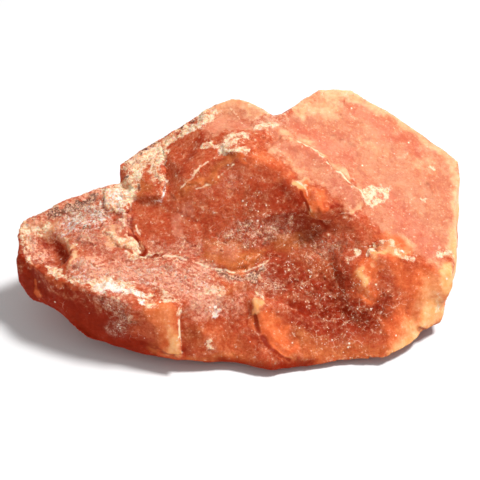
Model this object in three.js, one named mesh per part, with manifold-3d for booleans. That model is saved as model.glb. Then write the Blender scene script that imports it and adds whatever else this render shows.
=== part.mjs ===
// A rough lump of red aventurine, broken from a vein: one solid stone that rests on a flat fracture.
// Units are millimetres. +X runs along the stone from its narrow nose to its broad end,
// +Y runs from its front to its back, and +Z is up. The stone is drawn round a point on its foot,
// and at the end the origin is moved to the middle of its box, still on the foot.
//
// The stone is drawn as a cage of named corners and the fracture facets between them. Thin flakes are
// added to the cage and bowl-shaped fractures are cut out of it. Its long edges are then divided,
// every point is pushed about a little by smooth noise, as broken quartz is never quite flat,
// and a level cut makes the face that it rests on.
import * as THREE from "three";
import { ConvexGeometry } from "three/addons/geometries/ConvexGeometry.js";
import { ImprovedNoise } from "three/addons/math/ImprovedNoise.js";
import { mergeVertices } from "three/addons/utils/BufferGeometryUtils.js";
import Module from "manifold-3d";

// Driving sizes: the longest edge after dividing, how deep a flake is rooted in the stone, the block
// that levels the foot, a point deep in the stone, and the size and depth of the waves in its faces.
const LONGEST_EDGE = 3.4;
const FLAKE_ROOT = 1.6;
const BELOW = { width: 120, depth: 6 };
const HEART = new THREE.Vector3(2, 4, 12);
const WAVES = [
  { size: 11, depth: 0.9 },
  { size: 4.5, depth: 0.4 },
];

const CORNERS = {
  // The foot of the front, from the nose to the broad end.
  noseLow: [-40, -4.5, 9],
  foot1: [-38, -7, 7.5],
  foot2: [-34, -9.5, 6],
  foot3: [-30.5, -12.5, 5.5],
  foot4: [-27.5, -14, 4.5],
  foot5: [-24, -14.5, 4],
  foot6: [-20.5, -15.5, 3.5],
  foot7: [-16, -17, 3],
  foot8: [-10, -18.5, 2.5],
  foot9: [-1, -18.5, 1.5],
  foot10: [5.5, -20, 1.5],
  foot11: [14, -18, 1.5],
  foot12: [19.5, -16.5, 1.5],
  foot13: [25.5, -17, 1.5],
  foot14: [31, -13.5, 2],
  foot15: [33, -10.5, 2.5],
  foot16: [36, -8.5, 3],
  foot17: [37.5, -6, 5.5],
  // The nose and the back edge of the tongue behind it.
  noseWaist: [-39.5, -3, 13.5],
  noseTip: [-40, 2, 15],
  noseTop: [-39.5, 3.5, 16],
  tongue1: [-35.5, 5.5, 17.5],
  tongue2: [-31.5, 8, 18.5],
  tongue3: [-27, 10, 19.5],
  // The tongue's rough top.
  noseFloor: [-34.5, -1, 14.5],
  plate1: [-30, 2, 17],
  plate2: [-24.5, 4.5, 18.5],
  plate3: [-23, -2.5, 17],
  plateEnd: [-19, -3, 15.5],
  plateHead: [-20, 2, 17.5],
  // The step up from the tongue, the shoulder and the crest.
  stepFoot: [-22.5, 10.5, 20.5],
  stepHead: [-22, 12.5, 23],
  shoulder1: [-20, 14, 23.5],
  shoulder2: [-16.5, 16, 25],
  shoulder3: [-13.5, 17, 26.5],
  brow1: [-9, 19, 28.4],
  brow2: [-6.5, 20.5, 29.4],
  crest1: [-4, 21.5, 30.3],
  crest2: [-1.5, 22, 31.3],
  crest3: [1.5, 21.5, 31.3],
  crest4: [4, 20.3, 30.4],
  // The notch and the far edge of the bright slab.
  notchLeft: [5.5, 18, 30.2],
  notchRight: [8, 18.5, 30.5],
  rise1: [10, 21, 30.5],
  rise2: [13, 23.5, 30.5],
  peakLeft: [15.5, 26, 30.5],
  peakRight: [21, 28, 29],
  far1: [24, 27, 27.5],
  far2: [29, 26, 25.5],
  far3: [34.5, 23.5, 22.5],
  far4: [39, 21.5, 20.5],
  far5: [41.5, 19, 19],
  east1: [41.5, 16, 17.5],
  east2: [40, 9.5, 16],
  east3: [39, 1, 13],
  slabNear: [38, -6, 11],
  // The shelf's front sill, from the nose to the belly.
  sill1: [-33.5, -9, 14],
  sill2: [-30, -11, 14],
  sill3: [-23, -14, 13.5],
  sill4: [-17, -16, 13],
  sill5: [-10.5, -14, 12.5],
  sill6: [-4.5, -13, 12],
  sill7: [2, -9.5, 9.5],
  // The ledge line, where the hollow face meets the shelf.
  ledge1: [-28.5, -6.5, 15],
  ledge2: [-18, -4.5, 14.5],
  ledge3: [-13.5, -4, 14.5],
  ledge4: [-9, -4, 14],
  ledge5: [-6, -5, 13],
  ledge6: [-2, -6, 12.5],
  ledge7: [2, -5.5, 12.5],
  ledge8: [6.5, -2.5, 13],
  ledge9: [12.5, 0.5, 16],
  // The hollow face and the broken band above it.
  wall1: [-20, 6, 19],
  wall2: [-13.5, 4.5, 20.5],
  hollow1: [-7, 0.2, 18.5],
  hollow2: [3.5, 0.6, 20],
  band1: [-10.5, 5, 22],
  band2: [-5.5, 5.5, 25],
  band3: [0.5, 6.5, 27.5],
  crack1: [-10, 6, 24.5],
  crack2: [-6.5, 7.5, 27],
  crack3: [0, 8, 29],
  patch1: [-14.5, 15.5, 24],
  patch2: [-7, 15, 29],
  patch3: [0, 11, 30],
  patch4: [4, 13, 30],
  // The inside of the bright slab, which is nearly flat.
  slab1: [11, 11.5, 27],
  slab2: [18.5, 19.5, 27.5],
  slab3: [24, 9.5, 21.5],
  slab4: [31, 15, 21.5],
  slab5: [33.5, 2, 15.5],
  // The ridge between the bright slab and the front.
  ridge1: [4, 7, 28],
  ridge2: [8, 6, 26],
  ridge3: [11.5, 5, 24.5],
  ridge4: [15, 1.5, 22],
  ridge5: [19.5, 0, 20],
  ridge6: [26, -1, 17.5],
  ridge7: [30, -4, 15],
  ridge8: [34, -4.5, 13],
  // The apron under the sill, the belly of the front and the dark wall.
  apron1: [-7.5, -16.5, 8.5],
  apron2: [-0.5, -13, 6],
  belly1: [10.5, -7.5, 9.5],
  belly2: [19.5, -7.5, 9],
  belly3: [28, -9.5, 9],
  belly4: [4, -9, 9],
  eastBelly: [35, -7, 8.5],
  wall3: [-32, -11.5, 9.5],
  wall4: [-20, -15.5, 9],
  wall5: [-13, -17.5, 8],
  // The upper edge of the back wall, behind the crest and the far edge of the slab.
  rear1: [-16, 21, 19],
  rear2: [-3, 26, 26.5],
  rear3: [7, 26, 24.5],
  rear4: [17, 32.5, 25],
  rear5: [28.5, 31, 20.5],
  rear6: [38, 26, 16],
  // The back and the flat fracture that the stone rests on.
  heel1: [-38, 3, 8.5],
  heel2: [-31, 11, 7],
  heel3: [-23, 17, 6],
  back1: [-15, 24, 8],
  back2: [-4, 27.5, 10],
  back3: [8, 28.5, 11],
  back4: [17, 33.5, 12],
  back5: [29, 32, 10],
  back6: [38, 26, 7],
  back7: [42, 14, 6.5],
  back8: [40.5, 3, 4.5],
  base1: [-17, -11, -1.5],
  base2: [4, -15.5, -1.5],
  base3: [22, -12.5, -1.5],
  base4: [32, -4, -1.5],
  base5: [32, 12, -1.5],
  base6: [16, 22, -1.5],
  base7: [-4, 18, -1.5],
  base8: [-17, 6, -1.5],
};

// Each facet lists its corners counter-clockwise, seen from outside.
const FACETS = [
  // The tongue's rough top.
  "noseTop noseTip noseWaist noseFloor",
  "noseWaist sill1 noseFloor",
  "sill1 sill2 ledge1 noseFloor",
  "noseTop noseFloor plate1 tongue1",
  "noseFloor ledge1 plate3 plate1",
  "tongue1 plate1 plate2 tongue2",
  "tongue2 plate2 wall1 stepFoot tongue3",
  "plate1 plate3 plateHead plate2",
  "plate2 plateHead wall1",
  "plate3 ledge1 ledge2 plateEnd",
  "plate3 plateEnd plateHead",
  // The shelf.
  "ledge1 sill2 sill3 sill4 sill5 sill6 ledge6 ledge5 ledge4 ledge3 ledge2",
  "ledge6 sill6 sill7 ledge8 ledge7",
  // The dark wall under the sill.
  "noseWaist noseLow foot1 foot2 wall3 sill1",
  "sill1 wall3 sill2",
  "sill2 wall3 foot2 foot3 foot4 foot5 wall4 sill3",
  "sill3 wall4 wall5 sill5 sill4",
  "wall4 foot5 foot6 foot7 wall5",
  "wall5 foot7 foot8 sill5",
  // The apron and the belly.
  "sill5 foot8 apron1",
  "sill5 apron1 sill6",
  "foot8 foot9 apron1",
  "sill6 apron1 apron2 sill7",
  "apron1 foot9 apron2",
  "apron2 foot9 foot10 belly4",
  "sill7 apron2 belly4",
  "belly4 foot10 foot11 belly1",
  "belly1 foot11 foot12 belly2",
  "belly2 foot12 foot13 belly3",
  "belly3 foot13 foot14 foot15 eastBelly",
  "eastBelly foot15 foot16 foot17 slabNear",
  "ridge7 belly3 eastBelly ridge8",
  "ridge8 eastBelly slabNear",
  "ledge8 sill7 belly4 belly1 ledge9",
  "ledge9 belly1 belly2 ridge5 ridge4",
  "ridge5 belly2 belly3 ridge6",
  "ridge6 belly3 ridge7",
  // The hollow face.
  "plateEnd ledge2 hollow1 wall2 wall1 plateHead",
  "ledge2 ledge3 ledge4 hollow1",
  "hollow1 ledge4 ledge5 ledge6 hollow2",
  "hollow2 ledge6 ledge7 ledge8 ledge9",
  "hollow2 ledge9 ridge4 ridge3",
  "hollow2 ridge3 ridge2 ridge1 band3",
  "hollow1 hollow2 band3 band2",
  "wall2 hollow1 band2 band1",
  // The broken band, the smooth patch and the crust round it.
  "band1 band2 band3 crack3 crack2 crack1",
  "wall2 band1 crack1",
  "band3 ridge1 crack3",
  "patch1 wall2 crack1 crack2 patch2",
  "stepHead stepFoot wall1 wall2 patch1 shoulder2 shoulder1",
  "shoulder2 patch1 patch2 brow2 brow1 shoulder3",
  "brow2 patch2 patch3 patch4 notchLeft crest4 crest3 crest2 crest1",
  "patch2 crack2 crack3 patch3",
  "patch3 crack3 ridge1 patch4",
  // The bright slab.
  "patch4 ridge1 slab1 notchRight notchLeft",
  "ridge1 ridge2 ridge3 slab3 slab1",
  "ridge3 ridge4 ridge5 ridge6 slab5 slab3",
  "ridge6 ridge7 ridge8 slabNear east3 slab5",
  "slab5 east3 east2 slab4 slab3",
  "slab4 east2 east1 far5 far4 far3",
  "slab1 slab3 slab4 slab2",
  "slab4 far3 far2 far1 slab2",
  "slab2 far1 peakRight peakLeft rise2",
  "slab1 slab2 rise2 rise1 notchRight",
  // The broad end.
  "foot17 foot16 base4 back8",
  "back8 base4 base5 back7",
  "slabNear foot17 back8 east3",
  "east3 back8 back7 east2",
  "east2 back7 east1",
  "east1 back7 back6 rear6 far5",
  // The slope behind the crest and the slab.
  "far5 rear6 far4",
  "far4 rear6 rear5 far3",
  "far3 rear5 far2",
  "far2 rear5 rear4 far1",
  "far1 rear4 peakRight",
  "peakRight rear4 peakLeft",
  "peakLeft rear4 rise2",
  "rise2 rear4 rear3 rise1",
  "rise1 rear3 notchRight",
  "notchRight rear3 notchLeft",
  "notchLeft rear3 crest4",
  "crest4 rear3 rear2 crest3",
  "crest3 rear2 crest2",
  "crest2 rear2 crest1",
  "crest1 rear2 brow2",
  "brow2 rear2 rear1 brow1",
  "brow1 rear1 shoulder3",
  "shoulder3 rear1 shoulder2",
  "shoulder2 rear1 shoulder1",
  "shoulder1 rear1 heel3 stepHead",
  "stepHead heel3 stepFoot",
  // The back wall.
  "rear6 back6 back5 rear5",
  "rear5 back5 back4 rear4",
  "rear4 back4 back3 rear3",
  "rear3 back3 back2 rear2",
  "rear2 back2 back1 rear1",
  "rear1 back1 heel3",
  "stepFoot heel3 tongue3",
  "tongue3 heel3 heel2 tongue2",
  "tongue2 heel2 tongue1",
  "tongue1 heel2 heel1 noseTop",
  "noseTop heel1 noseTip",
  "noseTip heel1 noseWaist",
  "noseWaist heel1 noseLow",
  // The back's lower slope.
  "back7 base5 back6",
  "back6 base5 base6 back5",
  "back5 base6 back4",
  "back4 base6 base7 back3",
  "back3 base7 back2",
  "back2 base7 back1",
  "back1 base7 base8 heel3",
  "heel3 base8 heel2",
  "heel2 base8 heel1",
  // The underside, which the level cut trims.
  "foot10 foot9 foot8 base1 base2",
  "foot8 foot7 foot6 foot5 foot4 base1",
  "foot4 foot3 foot2 foot1 noseLow heel1 base8 base1",
  "foot12 foot11 foot10 base2 base3",
  "foot14 foot13 foot12 base3",
  "foot16 foot15 foot14 base3 base4",
  "base1 base8 base7 base6 base5 base4 base3 base2",
];

// Flakes that still stand on the facets. A corner is x, y, z and how far the flake stands proud there.
const FLAKES = {
  // The layer that is left on the bright slab beside the hollow.
  layer: [
    [4, 8, 28, 0.4],
    [8, 13.5, 28.5, 0.6],
    [11, 13, 27, 0.9],
    [14.5, 11.5, 25.5, 1.0],
    [19, 10, 23.5, 1.0],
    [20, 7.5, 22.5, 1.0],
    [18, 4, 22, 0.8],
    [14.5, 2.5, 22.5, 0.6],
    [11, 5, 24, 0.4],
    [7, 6.5, 26.5, 0.3],
  ],
  // The broken chip at its end, which hangs over the hollow.
  chip: [
    [10.5, 5.5, 25, 0.5],
    [15, 8.5, 24.5, 1.0],
    [19, 8, 23, 1.3],
    [22, 6.5, 21.5, 1.1],
    [22, 3.5, 20, 1.0],
    [19, 1, 20.5, 1.0],
    [14, -1, 21.2, 0.8],
    [12.5, 1.5, 22.7, 0.9],
  ],
  // The crescent-edged swelling below the ridge, near the broad end.
  crescent: [
    [23.5, -4.5, 15.5, 0.7],
    [27.5, -4.5, 15, 0.4],
    [32, -5, 13, 0],
    [35, -6.5, 10.5, -0.2],
    [33.5, -8, 7.5, -0.2],
    [29.5, -9.5, 7.5, 0.2],
    [24.5, -9.5, 8.5, 0.8],
    [22, -7.5, 10.5, 1.2],
    [21, -6, 13, 1.2],
  ],
  // The slab of orange quartz low on the belly: its left edge is a step, and its right runs out.
  lowSlab: [
    [1.5, -10, 10, 1.2],
    [4, -9, 9.5, 1.0],
    [9, -10, 8, 0.1],
    [17.5, -12.5, 5, -0.5],
    [18, -16, 2, -0.4],
    [10.5, -18, 1.7, 0.9],
    [7, -16.5, 3.5, 1.5],
    [3, -13, 6, 1.6],
  ],
  // The bulge on the dark wall, which ends in a step towards the apron.
  bulge: [
    [-17, -15.5, 12, 0.3],
    [-13, -14.5, 12.7, 0.8],
    [-10.5, -14, 12.3, 1.2],
    [-10.5, -18, 4, 1.5],
    [-13, -17.8, 4, 1.0],
    [-16, -17, 6, 0.5],
  ],
  // The lip at the foot of the hollow.
  lip: [
    [-6.5, -2.5, 15.5, 0.3],
    [-1, -2, 16.5, 0.3],
    [4, -2.5, 15.5, 0.3],
    [4.5, -3.5, 14, 0.5],
    [2, -5.5, 13, 0.9],
    [-2, -6, 12.5, 1.0],
    [-6, -5.5, 13.3, 0.8],
    [-8, -4, 14.5, 0.3],
  ],
  // The plate on the tongue, from the nose's pit to the hollow's left end.
  plate: [
    [-32, 0, 15.5, 0.9],
    [-30.5, -3, 15, 1.2],
    [-30.5, -8, 14.8, 0.7],
    [-25, -6.5, 15, 0.3],
    [-18.7, -4.5, 14.7, 0.5],
    [-19, -0.5, 15.8, 0.9],
    [-20.5, 1.5, 17.3, 0.9],
    [-28, 2.5, 17, 0.5],
  ],
  // The crusts at the two sides of the step.
  tongueCrust: [
    [-25, 9, 19.5, 0.6],
    [-22.5, 9.5, 19.7, 0.8],
    [-20, 7, 19.5, 0.9],
    [-20.5, 4, 18.3, 0.6],
    [-23, 3.5, 18, 0.3],
    [-25, 5, 18.5, 0.5],
  ],
  cliffCrust: [
    [-20, 13.5, 23.3, 0.6],
    [-16.5, 15.5, 24.3, 0.5],
    [-14.5, 15, 24.2, 0.8],
    [-14, 12.5, 23, 1.0],
    [-14.5, 7.5, 21, 0.9],
    [-14.5, 5, 20.5, 0.7],
    [-16.5, 5, 19.7, 0.5],
    [-19.5, 6, 19.3, 0.5],
    [-21.2, 10, 20.7, 0.7],
    [-21.2, 12, 22.2, 0.7],
  ],
  // The crust on the sill, and the crust where the band, the patch and the slab meet.
  sillCrust: [
    [-24, -11, 14, 0.3],
    [-21, -10, 14, 0.4],
    [-15.5, -11.5, 13.2, 0.5],
    [-15.5, -14.5, 12.7, 0.7],
    [-19.5, -15, 13, 0.8],
    [-23.5, -14, 13.5, 0.6],
  ],
  bandCrust: [
    [-3.5, 12, 29, 0.3],
    [0, 13.5, 30, 0.4],
    [4, 13, 29.7, 0.4],
    [3, 9, 28.7, 0.7],
    [0, 7.7, 28.7, 0.9],
    [-3, 8.7, 28.2, 0.8],
  ],
  // The thick edge of the slab at its highest corner.
  peakLayer: [
    [11, 20.5, 30, 0.4],
    [15.5, 25.5, 30.2, 0.3],
    [20.5, 27, 29, 0.3],
    [19, 22.5, 28, 0.9],
    [14.5, 19, 28, 1.0],
    [10, 17.5, 29, 0.7],
  ],
  // Layers left on the back wall, the heel and the broad end.
  rearLayer: [
    [28.5, 31.3, 17, 0.3],
    [29, 31.9, 10.5, 1.0],
    [22, 32.7, 11.5, 1.2],
    [18, 33, 15, 0.8],
    [20, 32.3, 19.5, 0.3],
  ],
  middleLayer: [
    [6, 26.8, 20, 0.8],
    [6.5, 28, 13, 1.0],
    [0, 27.8, 11, 0.9],
    [-3.5, 27.2, 15, 0.4],
    [-2, 26.5, 21, 0.2],
  ],
  heelLayer: [
    [-6, 26, 18, 0.2],
    [-6, 27, 11, 0.9],
    [-12, 25.3, 9.5, 1.1],
    [-15, 23.5, 13, 0.8],
    [-12, 23.4, 19, 0.2],
  ],
  endLayer: [
    [41, 17, 16, 0.2],
    [41.5, 16, 8, 0.8],
    [39, 23, 8, 0.9],
    [39.2, 23, 14, 0.4],
  ],
  // The lobes at the lower corner of the broad end.
  upperLobe: [
    [34.5, -5, 12.5, 0.3],
    [38, -4.5, 12, 0.5],
    [38.5, -6, 9, 0.9],
    [37, -7, 6, 0.9],
    [35, -7.5, 8, 0.8],
  ],
  lowerLobe: [
    [33, -9, 6.5, 0.5],
    [36, -7.2, 5.5, 0.5],
    [35.7, -8.3, 3.3, 0.3],
    [33.5, -10.3, 2.6, 0.3],
    [32, -11.3, 4, 0.6],
  ],
};

// Bowl-shaped fractures, cut out by an egg: its centre, its half sizes and its turns about X, Y and Z.
const SCOOPS = {
  nosePit: { centre: [-33.6, -2.6, 16.2], half: [4.6, 2.6, 3.2], turns: [0, 0.25, -1.0] },
  backBowl: { centre: [-10, 41, 28], half: [22, 18, 14], turns: [0, 0, 0.25] },
  backBowlEast: { centre: [31, 46, 2], half: [20, 18, 14], turns: [0, 0, -0.1] },
  endBowl: { centre: [59, 4, 1], half: [21, 17, 13], turns: [0, 0, 0] },
  heelBowl: { centre: [-32, 25, 14], half: [16, 16, 14], turns: [0, 0, 0] },
};

const wasm = await Module();
wasm.setup();

const at = (name) => new THREE.Vector3(...CORNERS[name]);

// The outward direction of a ring of points that runs counter-clockwise, seen from outside.
function meanNormal(points) {
  const normal = new THREE.Vector3();
  points.forEach((p, i) => normal.add(p.clone().cross(points[(i + 1) % points.length])));
  return normal.normalize();
}

// A facet's corners as triangles: it is laid flat on its own mean plane and cut by ear clipping.
function trianglesOf(facet) {
  const names = facet.split(" ");
  const points = names.map(at);
  const normal = meanNormal(points);
  const across = points[1].clone().sub(points[0]).projectOnPlane(normal).normalize();
  const up = normal.clone().cross(across);
  const flat = points.map((p) => new THREE.Vector2(p.dot(across), p.dot(up)));
  return THREE.ShapeUtils.triangulateShape(flat, []).map((t) => t.map((i) => names[i]));
}

function cageGeometry() {
  const names = Object.keys(CORNERS);
  const index = FACETS.flatMap(trianglesOf).flat().map((name) => names.indexOf(name));
  return geometryFrom(names.flatMap((name) => CORNERS[name]), index);
}

// A flake is the hull of its outline, sunk by its root and raised by what each corner stands proud.
function flakeGeometry(corners) {
  const points = corners.map(([x, y, z]) => new THREE.Vector3(x, y, z));
  const outward = meanNormal(points);
  if (outward.dot(points[0].clone().sub(HEART)) < 0) {
    outward.negate();
  }
  const sunk = points.map((p) => p.clone().addScaledVector(outward, -FLAKE_ROOT));
  const proud = points.map((p, i) => p.clone().addScaledVector(outward, corners[i][3]));
  return new ConvexGeometry([...sunk, ...proud]);
}

function scoopGeometry({ centre, half, turns }) {
  const place = new THREE.Matrix4().compose(
    new THREE.Vector3(...centre),
    new THREE.Quaternion().setFromEuler(new THREE.Euler(...turns)),
    new THREE.Vector3(...half),
  );
  return new THREE.SphereGeometry(1, 18, 12).applyMatrix4(place);
}

function solidFrom(geometry) {
  const bare = new THREE.BufferGeometry().setAttribute("position", geometry.getAttribute("position"));
  bare.setIndex(geometry.index);
  const merged = mergeVertices(bare, 1e-4);
  return new wasm.Manifold(
    new wasm.Mesh({
      numProp: 3,
      vertProperties: merged.attributes.position.array,
      triVerts: new Uint32Array(merged.index.array),
    }),
  );
}

// Halves every edge over the limit, and again until none is left. Triangles on both sides of an edge
// share its middle, so the surface stays closed.
function divided(mesh, limit) {
  const points = [];
  for (let i = 0; i < mesh.numVert; i++) {
    points.push(new THREE.Vector3().fromArray(mesh.vertProperties, i * mesh.numProp));
  }
  let triangles = [];
  for (let i = 0; i < mesh.numTri; i++) {
    triangles.push([...mesh.triVerts.subarray(3 * i, 3 * i + 3)]);
  }
  for (let cut = true; cut; ) {
    cut = false;
    const middles = new Map();
    const middle = (a, b) => {
      const key = Math.min(a, b) + "_" + Math.max(a, b);
      if (!middles.has(key)) {
        const long = points[a].distanceTo(points[b]) > limit;
        middles.set(key, long ? points.push(points[a].clone().lerp(points[b], 0.5)) - 1 : -1);
      }
      return middles.get(key);
    };
    const next = [];
    for (const [a, b, c] of triangles) {
      const sides = [
        [a, b, c],
        [b, c, a],
        [c, a, b],
      ].sort((p, q) => points[q[0]].distanceTo(points[q[1]]) - points[p[0]].distanceTo(points[p[1]]));
      const [p, q, r] = sides[0];
      const m = middle(p, q);
      if (m < 0) {
        next.push([a, b, c]);
        continue;
      }
      next.push([p, m, r], [m, q, r]);
      cut = true;
    }
    triangles = mended(next, middles);
  }
  return { points, triangles };
}

// A triangle whose own longest side is another one still has to take the middle that its neighbour made.
function mended(triangles, middles) {
  const out = [];
  const open = [...triangles];
  while (open.length) {
    const [a, b, c] = open.pop();
    const side = [
      [a, b, c],
      [b, c, a],
      [c, a, b],
    ].find(([p, q]) => middles.get(Math.min(p, q) + "_" + Math.max(p, q)) >= 0);
    if (!side) {
      out.push([a, b, c]);
      continue;
    }
    const [p, q, r] = side;
    const m = middles.get(Math.min(p, q) + "_" + Math.max(p, q));
    open.push([p, m, r], [m, q, r]);
  }
  return out;
}

const noise = new ImprovedNoise();

// Moves a point by a smooth field of its own place, so that faces which share it stay joined.
function weathered(p) {
  const out = p.clone();
  for (const { size, depth } of WAVES) {
    const q = p.clone().divideScalar(size);
    out.x += depth * noise.noise(q.x, q.y + 7, q.z);
    out.y += depth * noise.noise(q.x + 31, q.y, q.z);
    out.z += depth * noise.noise(q.x, q.y, q.z + 53);
  }
  return out;
}

function geometryFrom(positions, index) {
  return new THREE.BufferGeometry()
    .setAttribute("position", new THREE.Float32BufferAttribute(positions, 3))
    .setIndex(index);
}

function stoneGeometry() {
  let lump = solidFrom(cageGeometry());
  for (const flake of Object.values(FLAKES)) {
    lump = lump.add(solidFrom(flakeGeometry(flake)));
  }
  for (const scoop of Object.values(SCOOPS)) {
    lump = lump.subtract(solidFrom(scoopGeometry(scoop)));
  }
  const { points, triangles } = divided(lump.getMesh(), LONGEST_EDGE);
  const rough = geometryFrom(points.map(weathered).flatMap((p) => p.toArray()), triangles.flat());
  const below = new THREE.BoxGeometry(BELOW.width, BELOW.width, BELOW.depth);
  below.translate(0, 0, -BELOW.depth / 2);
  const stone = solidFrom(rough).subtract(solidFrom(below)).getMesh();
  return centred(geometryFrom(stone.vertProperties, [...stone.triVerts]));
}

// Puts the origin at the middle of the stone's box, on the surface that it rests on.
function centred(geometry) {
  geometry.computeBoundingBox();
  const middle = geometry.boundingBox.getCenter(new THREE.Vector3());
  return geometry.translate(-middle.x, -middle.y, 0);
}

const stone = new THREE.Mesh(
  stoneGeometry(),
  new THREE.MeshStandardMaterial({ color: 0xc4553a, roughness: 0.55, metalness: 0 }),
);
stone.name = "stone";

const group = new THREE.Group();
group.add(stone);
export default group;
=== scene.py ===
"""A rough lump of red aventurine: the finish of its one stone, and the stage that it is shown on.

Lengths are metres, as in the frame, except in the tables of brush strokes and lines, which are in
millimetres. Places on the stone are counted there from the lowest corner of its box: the first
number runs from the nose to the broad end, the second from the front to the back, and the third up
from the rest face.
"""

import math

import bpy
import numpy as np
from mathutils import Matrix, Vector, noise


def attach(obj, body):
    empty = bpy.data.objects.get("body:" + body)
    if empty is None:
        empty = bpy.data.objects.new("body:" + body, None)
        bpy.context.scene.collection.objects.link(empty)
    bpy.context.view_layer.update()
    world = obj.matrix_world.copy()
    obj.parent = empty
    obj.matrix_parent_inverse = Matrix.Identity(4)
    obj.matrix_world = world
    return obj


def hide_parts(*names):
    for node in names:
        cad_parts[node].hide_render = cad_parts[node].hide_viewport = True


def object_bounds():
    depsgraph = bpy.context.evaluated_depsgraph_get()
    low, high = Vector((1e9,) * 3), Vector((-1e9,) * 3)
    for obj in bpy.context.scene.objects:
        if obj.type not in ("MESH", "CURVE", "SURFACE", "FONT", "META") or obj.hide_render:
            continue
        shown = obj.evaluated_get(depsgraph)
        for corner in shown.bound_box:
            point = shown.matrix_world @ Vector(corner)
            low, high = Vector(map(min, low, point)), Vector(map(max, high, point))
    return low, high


bl_info = {
    "name": "Rough Aventurine",
    "version": (1, 0, 0),
    "blender": (4, 5, 0),
    "location": "3D View > Sidebar > Aventurine",
    "description": "Builds a rough lump of red aventurine quartz and a plain studio stage",
    "category": "Object",
}

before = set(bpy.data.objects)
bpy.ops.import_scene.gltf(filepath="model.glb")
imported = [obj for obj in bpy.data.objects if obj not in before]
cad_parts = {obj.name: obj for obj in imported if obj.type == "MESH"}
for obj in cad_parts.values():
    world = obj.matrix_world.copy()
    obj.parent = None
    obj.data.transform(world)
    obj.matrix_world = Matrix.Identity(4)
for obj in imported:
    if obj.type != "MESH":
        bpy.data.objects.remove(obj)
CAD_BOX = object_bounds()
LOW = np.array(CAD_BOX[0])
HIGH = np.array(CAD_BOX[1])
SIDES = HIGH - LOW
MM = 0.001

STONE = "stone"
BODY = "root"

# The stone's copy of the solid is merged within this distance.
MERGE_WITHIN = 0.01 * MM

# Sizes of the surface's own relief.
WAVE_SIZE = 6.0 * MM
LUMP_SIZE = 2.2 * MM
CHIP_SIZE = 2.6 * MM
SMALL_CHIP_SIZE = 1.1 * MM
GRAIN_SIZE = 0.7 * MM

# A brush stroke is full up to the first of these shares of its radius, and gone at the second.
BRUSH_FADE = (0.3, 1.7)

# Wear below this is left out.
LEAST_WEAR = 0.02

# How far from its ends a layer's step is at full strength, and half the width of its edge's painted
# highlight.
STEP_FADE = 1.2 * MM
STEP_EDGE = 0.32 * MM

# Finishes painted fainter on the faces that look down, which lie in shade: painted light.
FAINTER_ON_SHADED_FACES = ("crust", "mineral", "white")

# How fully each veil, line, painted highlight, painted shade and speck, partly a painted glint, covers
# what lies under it.
COVER = {
    "veil": 0.18,
    "grains": 0.75,
    "edge": 0.85,
    "vein": 0.78,
    "under": 0.8,
    "white_speck_and_painted_glint": 0.9,
}

# Quartz bends light by this much, and these shares of the glow's depth are how far red, green and
# blue light travel in it.
QUARTZ_IOR = 1.54
GLOW_SPREAD = (1.0, 0.35, 0.15)

# The stage: the floor's width, what share of the stone's box the camera looks at, how near it still
# sees, how far off the lights stand, which way they stand, and the fill light's width.
FLOOR_SIZE = 4.0
AIM = (0.490, 0.369, 0.48)
NEAREST = 0.01
LIGHT_DISTANCE = 0.5
KEY_FROM = (0.42, 0.05, 0.91)
FILL_FROM = (-0.35, -0.8, 0.45)
FILL_SIZE = 0.5

# Places that several tables share: the shelf in front of the hollow, the floor of the nose's pit,
# the edge of the front's bulge, and the undercut below the chip.
SHELF = [(14, 11.3, 15), (20, 12.5, 14.3), (27, 12.5, 14), (33, 12, 13.5)]
PIT = [(3.5, 19, 13.8), (5, 17.8, 13.3), (6.2, 16.2, 13.3)]
BULGE_EDGE = [(30.5, 2.3, 5), (30.2, 2.5, 7.4), (29.9, 3.2, 9.4), (30, 4.6, 11.1), (30.3, 6, 12.4)]
UNDER_CHIP = [(53, 18, 14.5), (57.5, 18, 14.5)]

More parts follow.
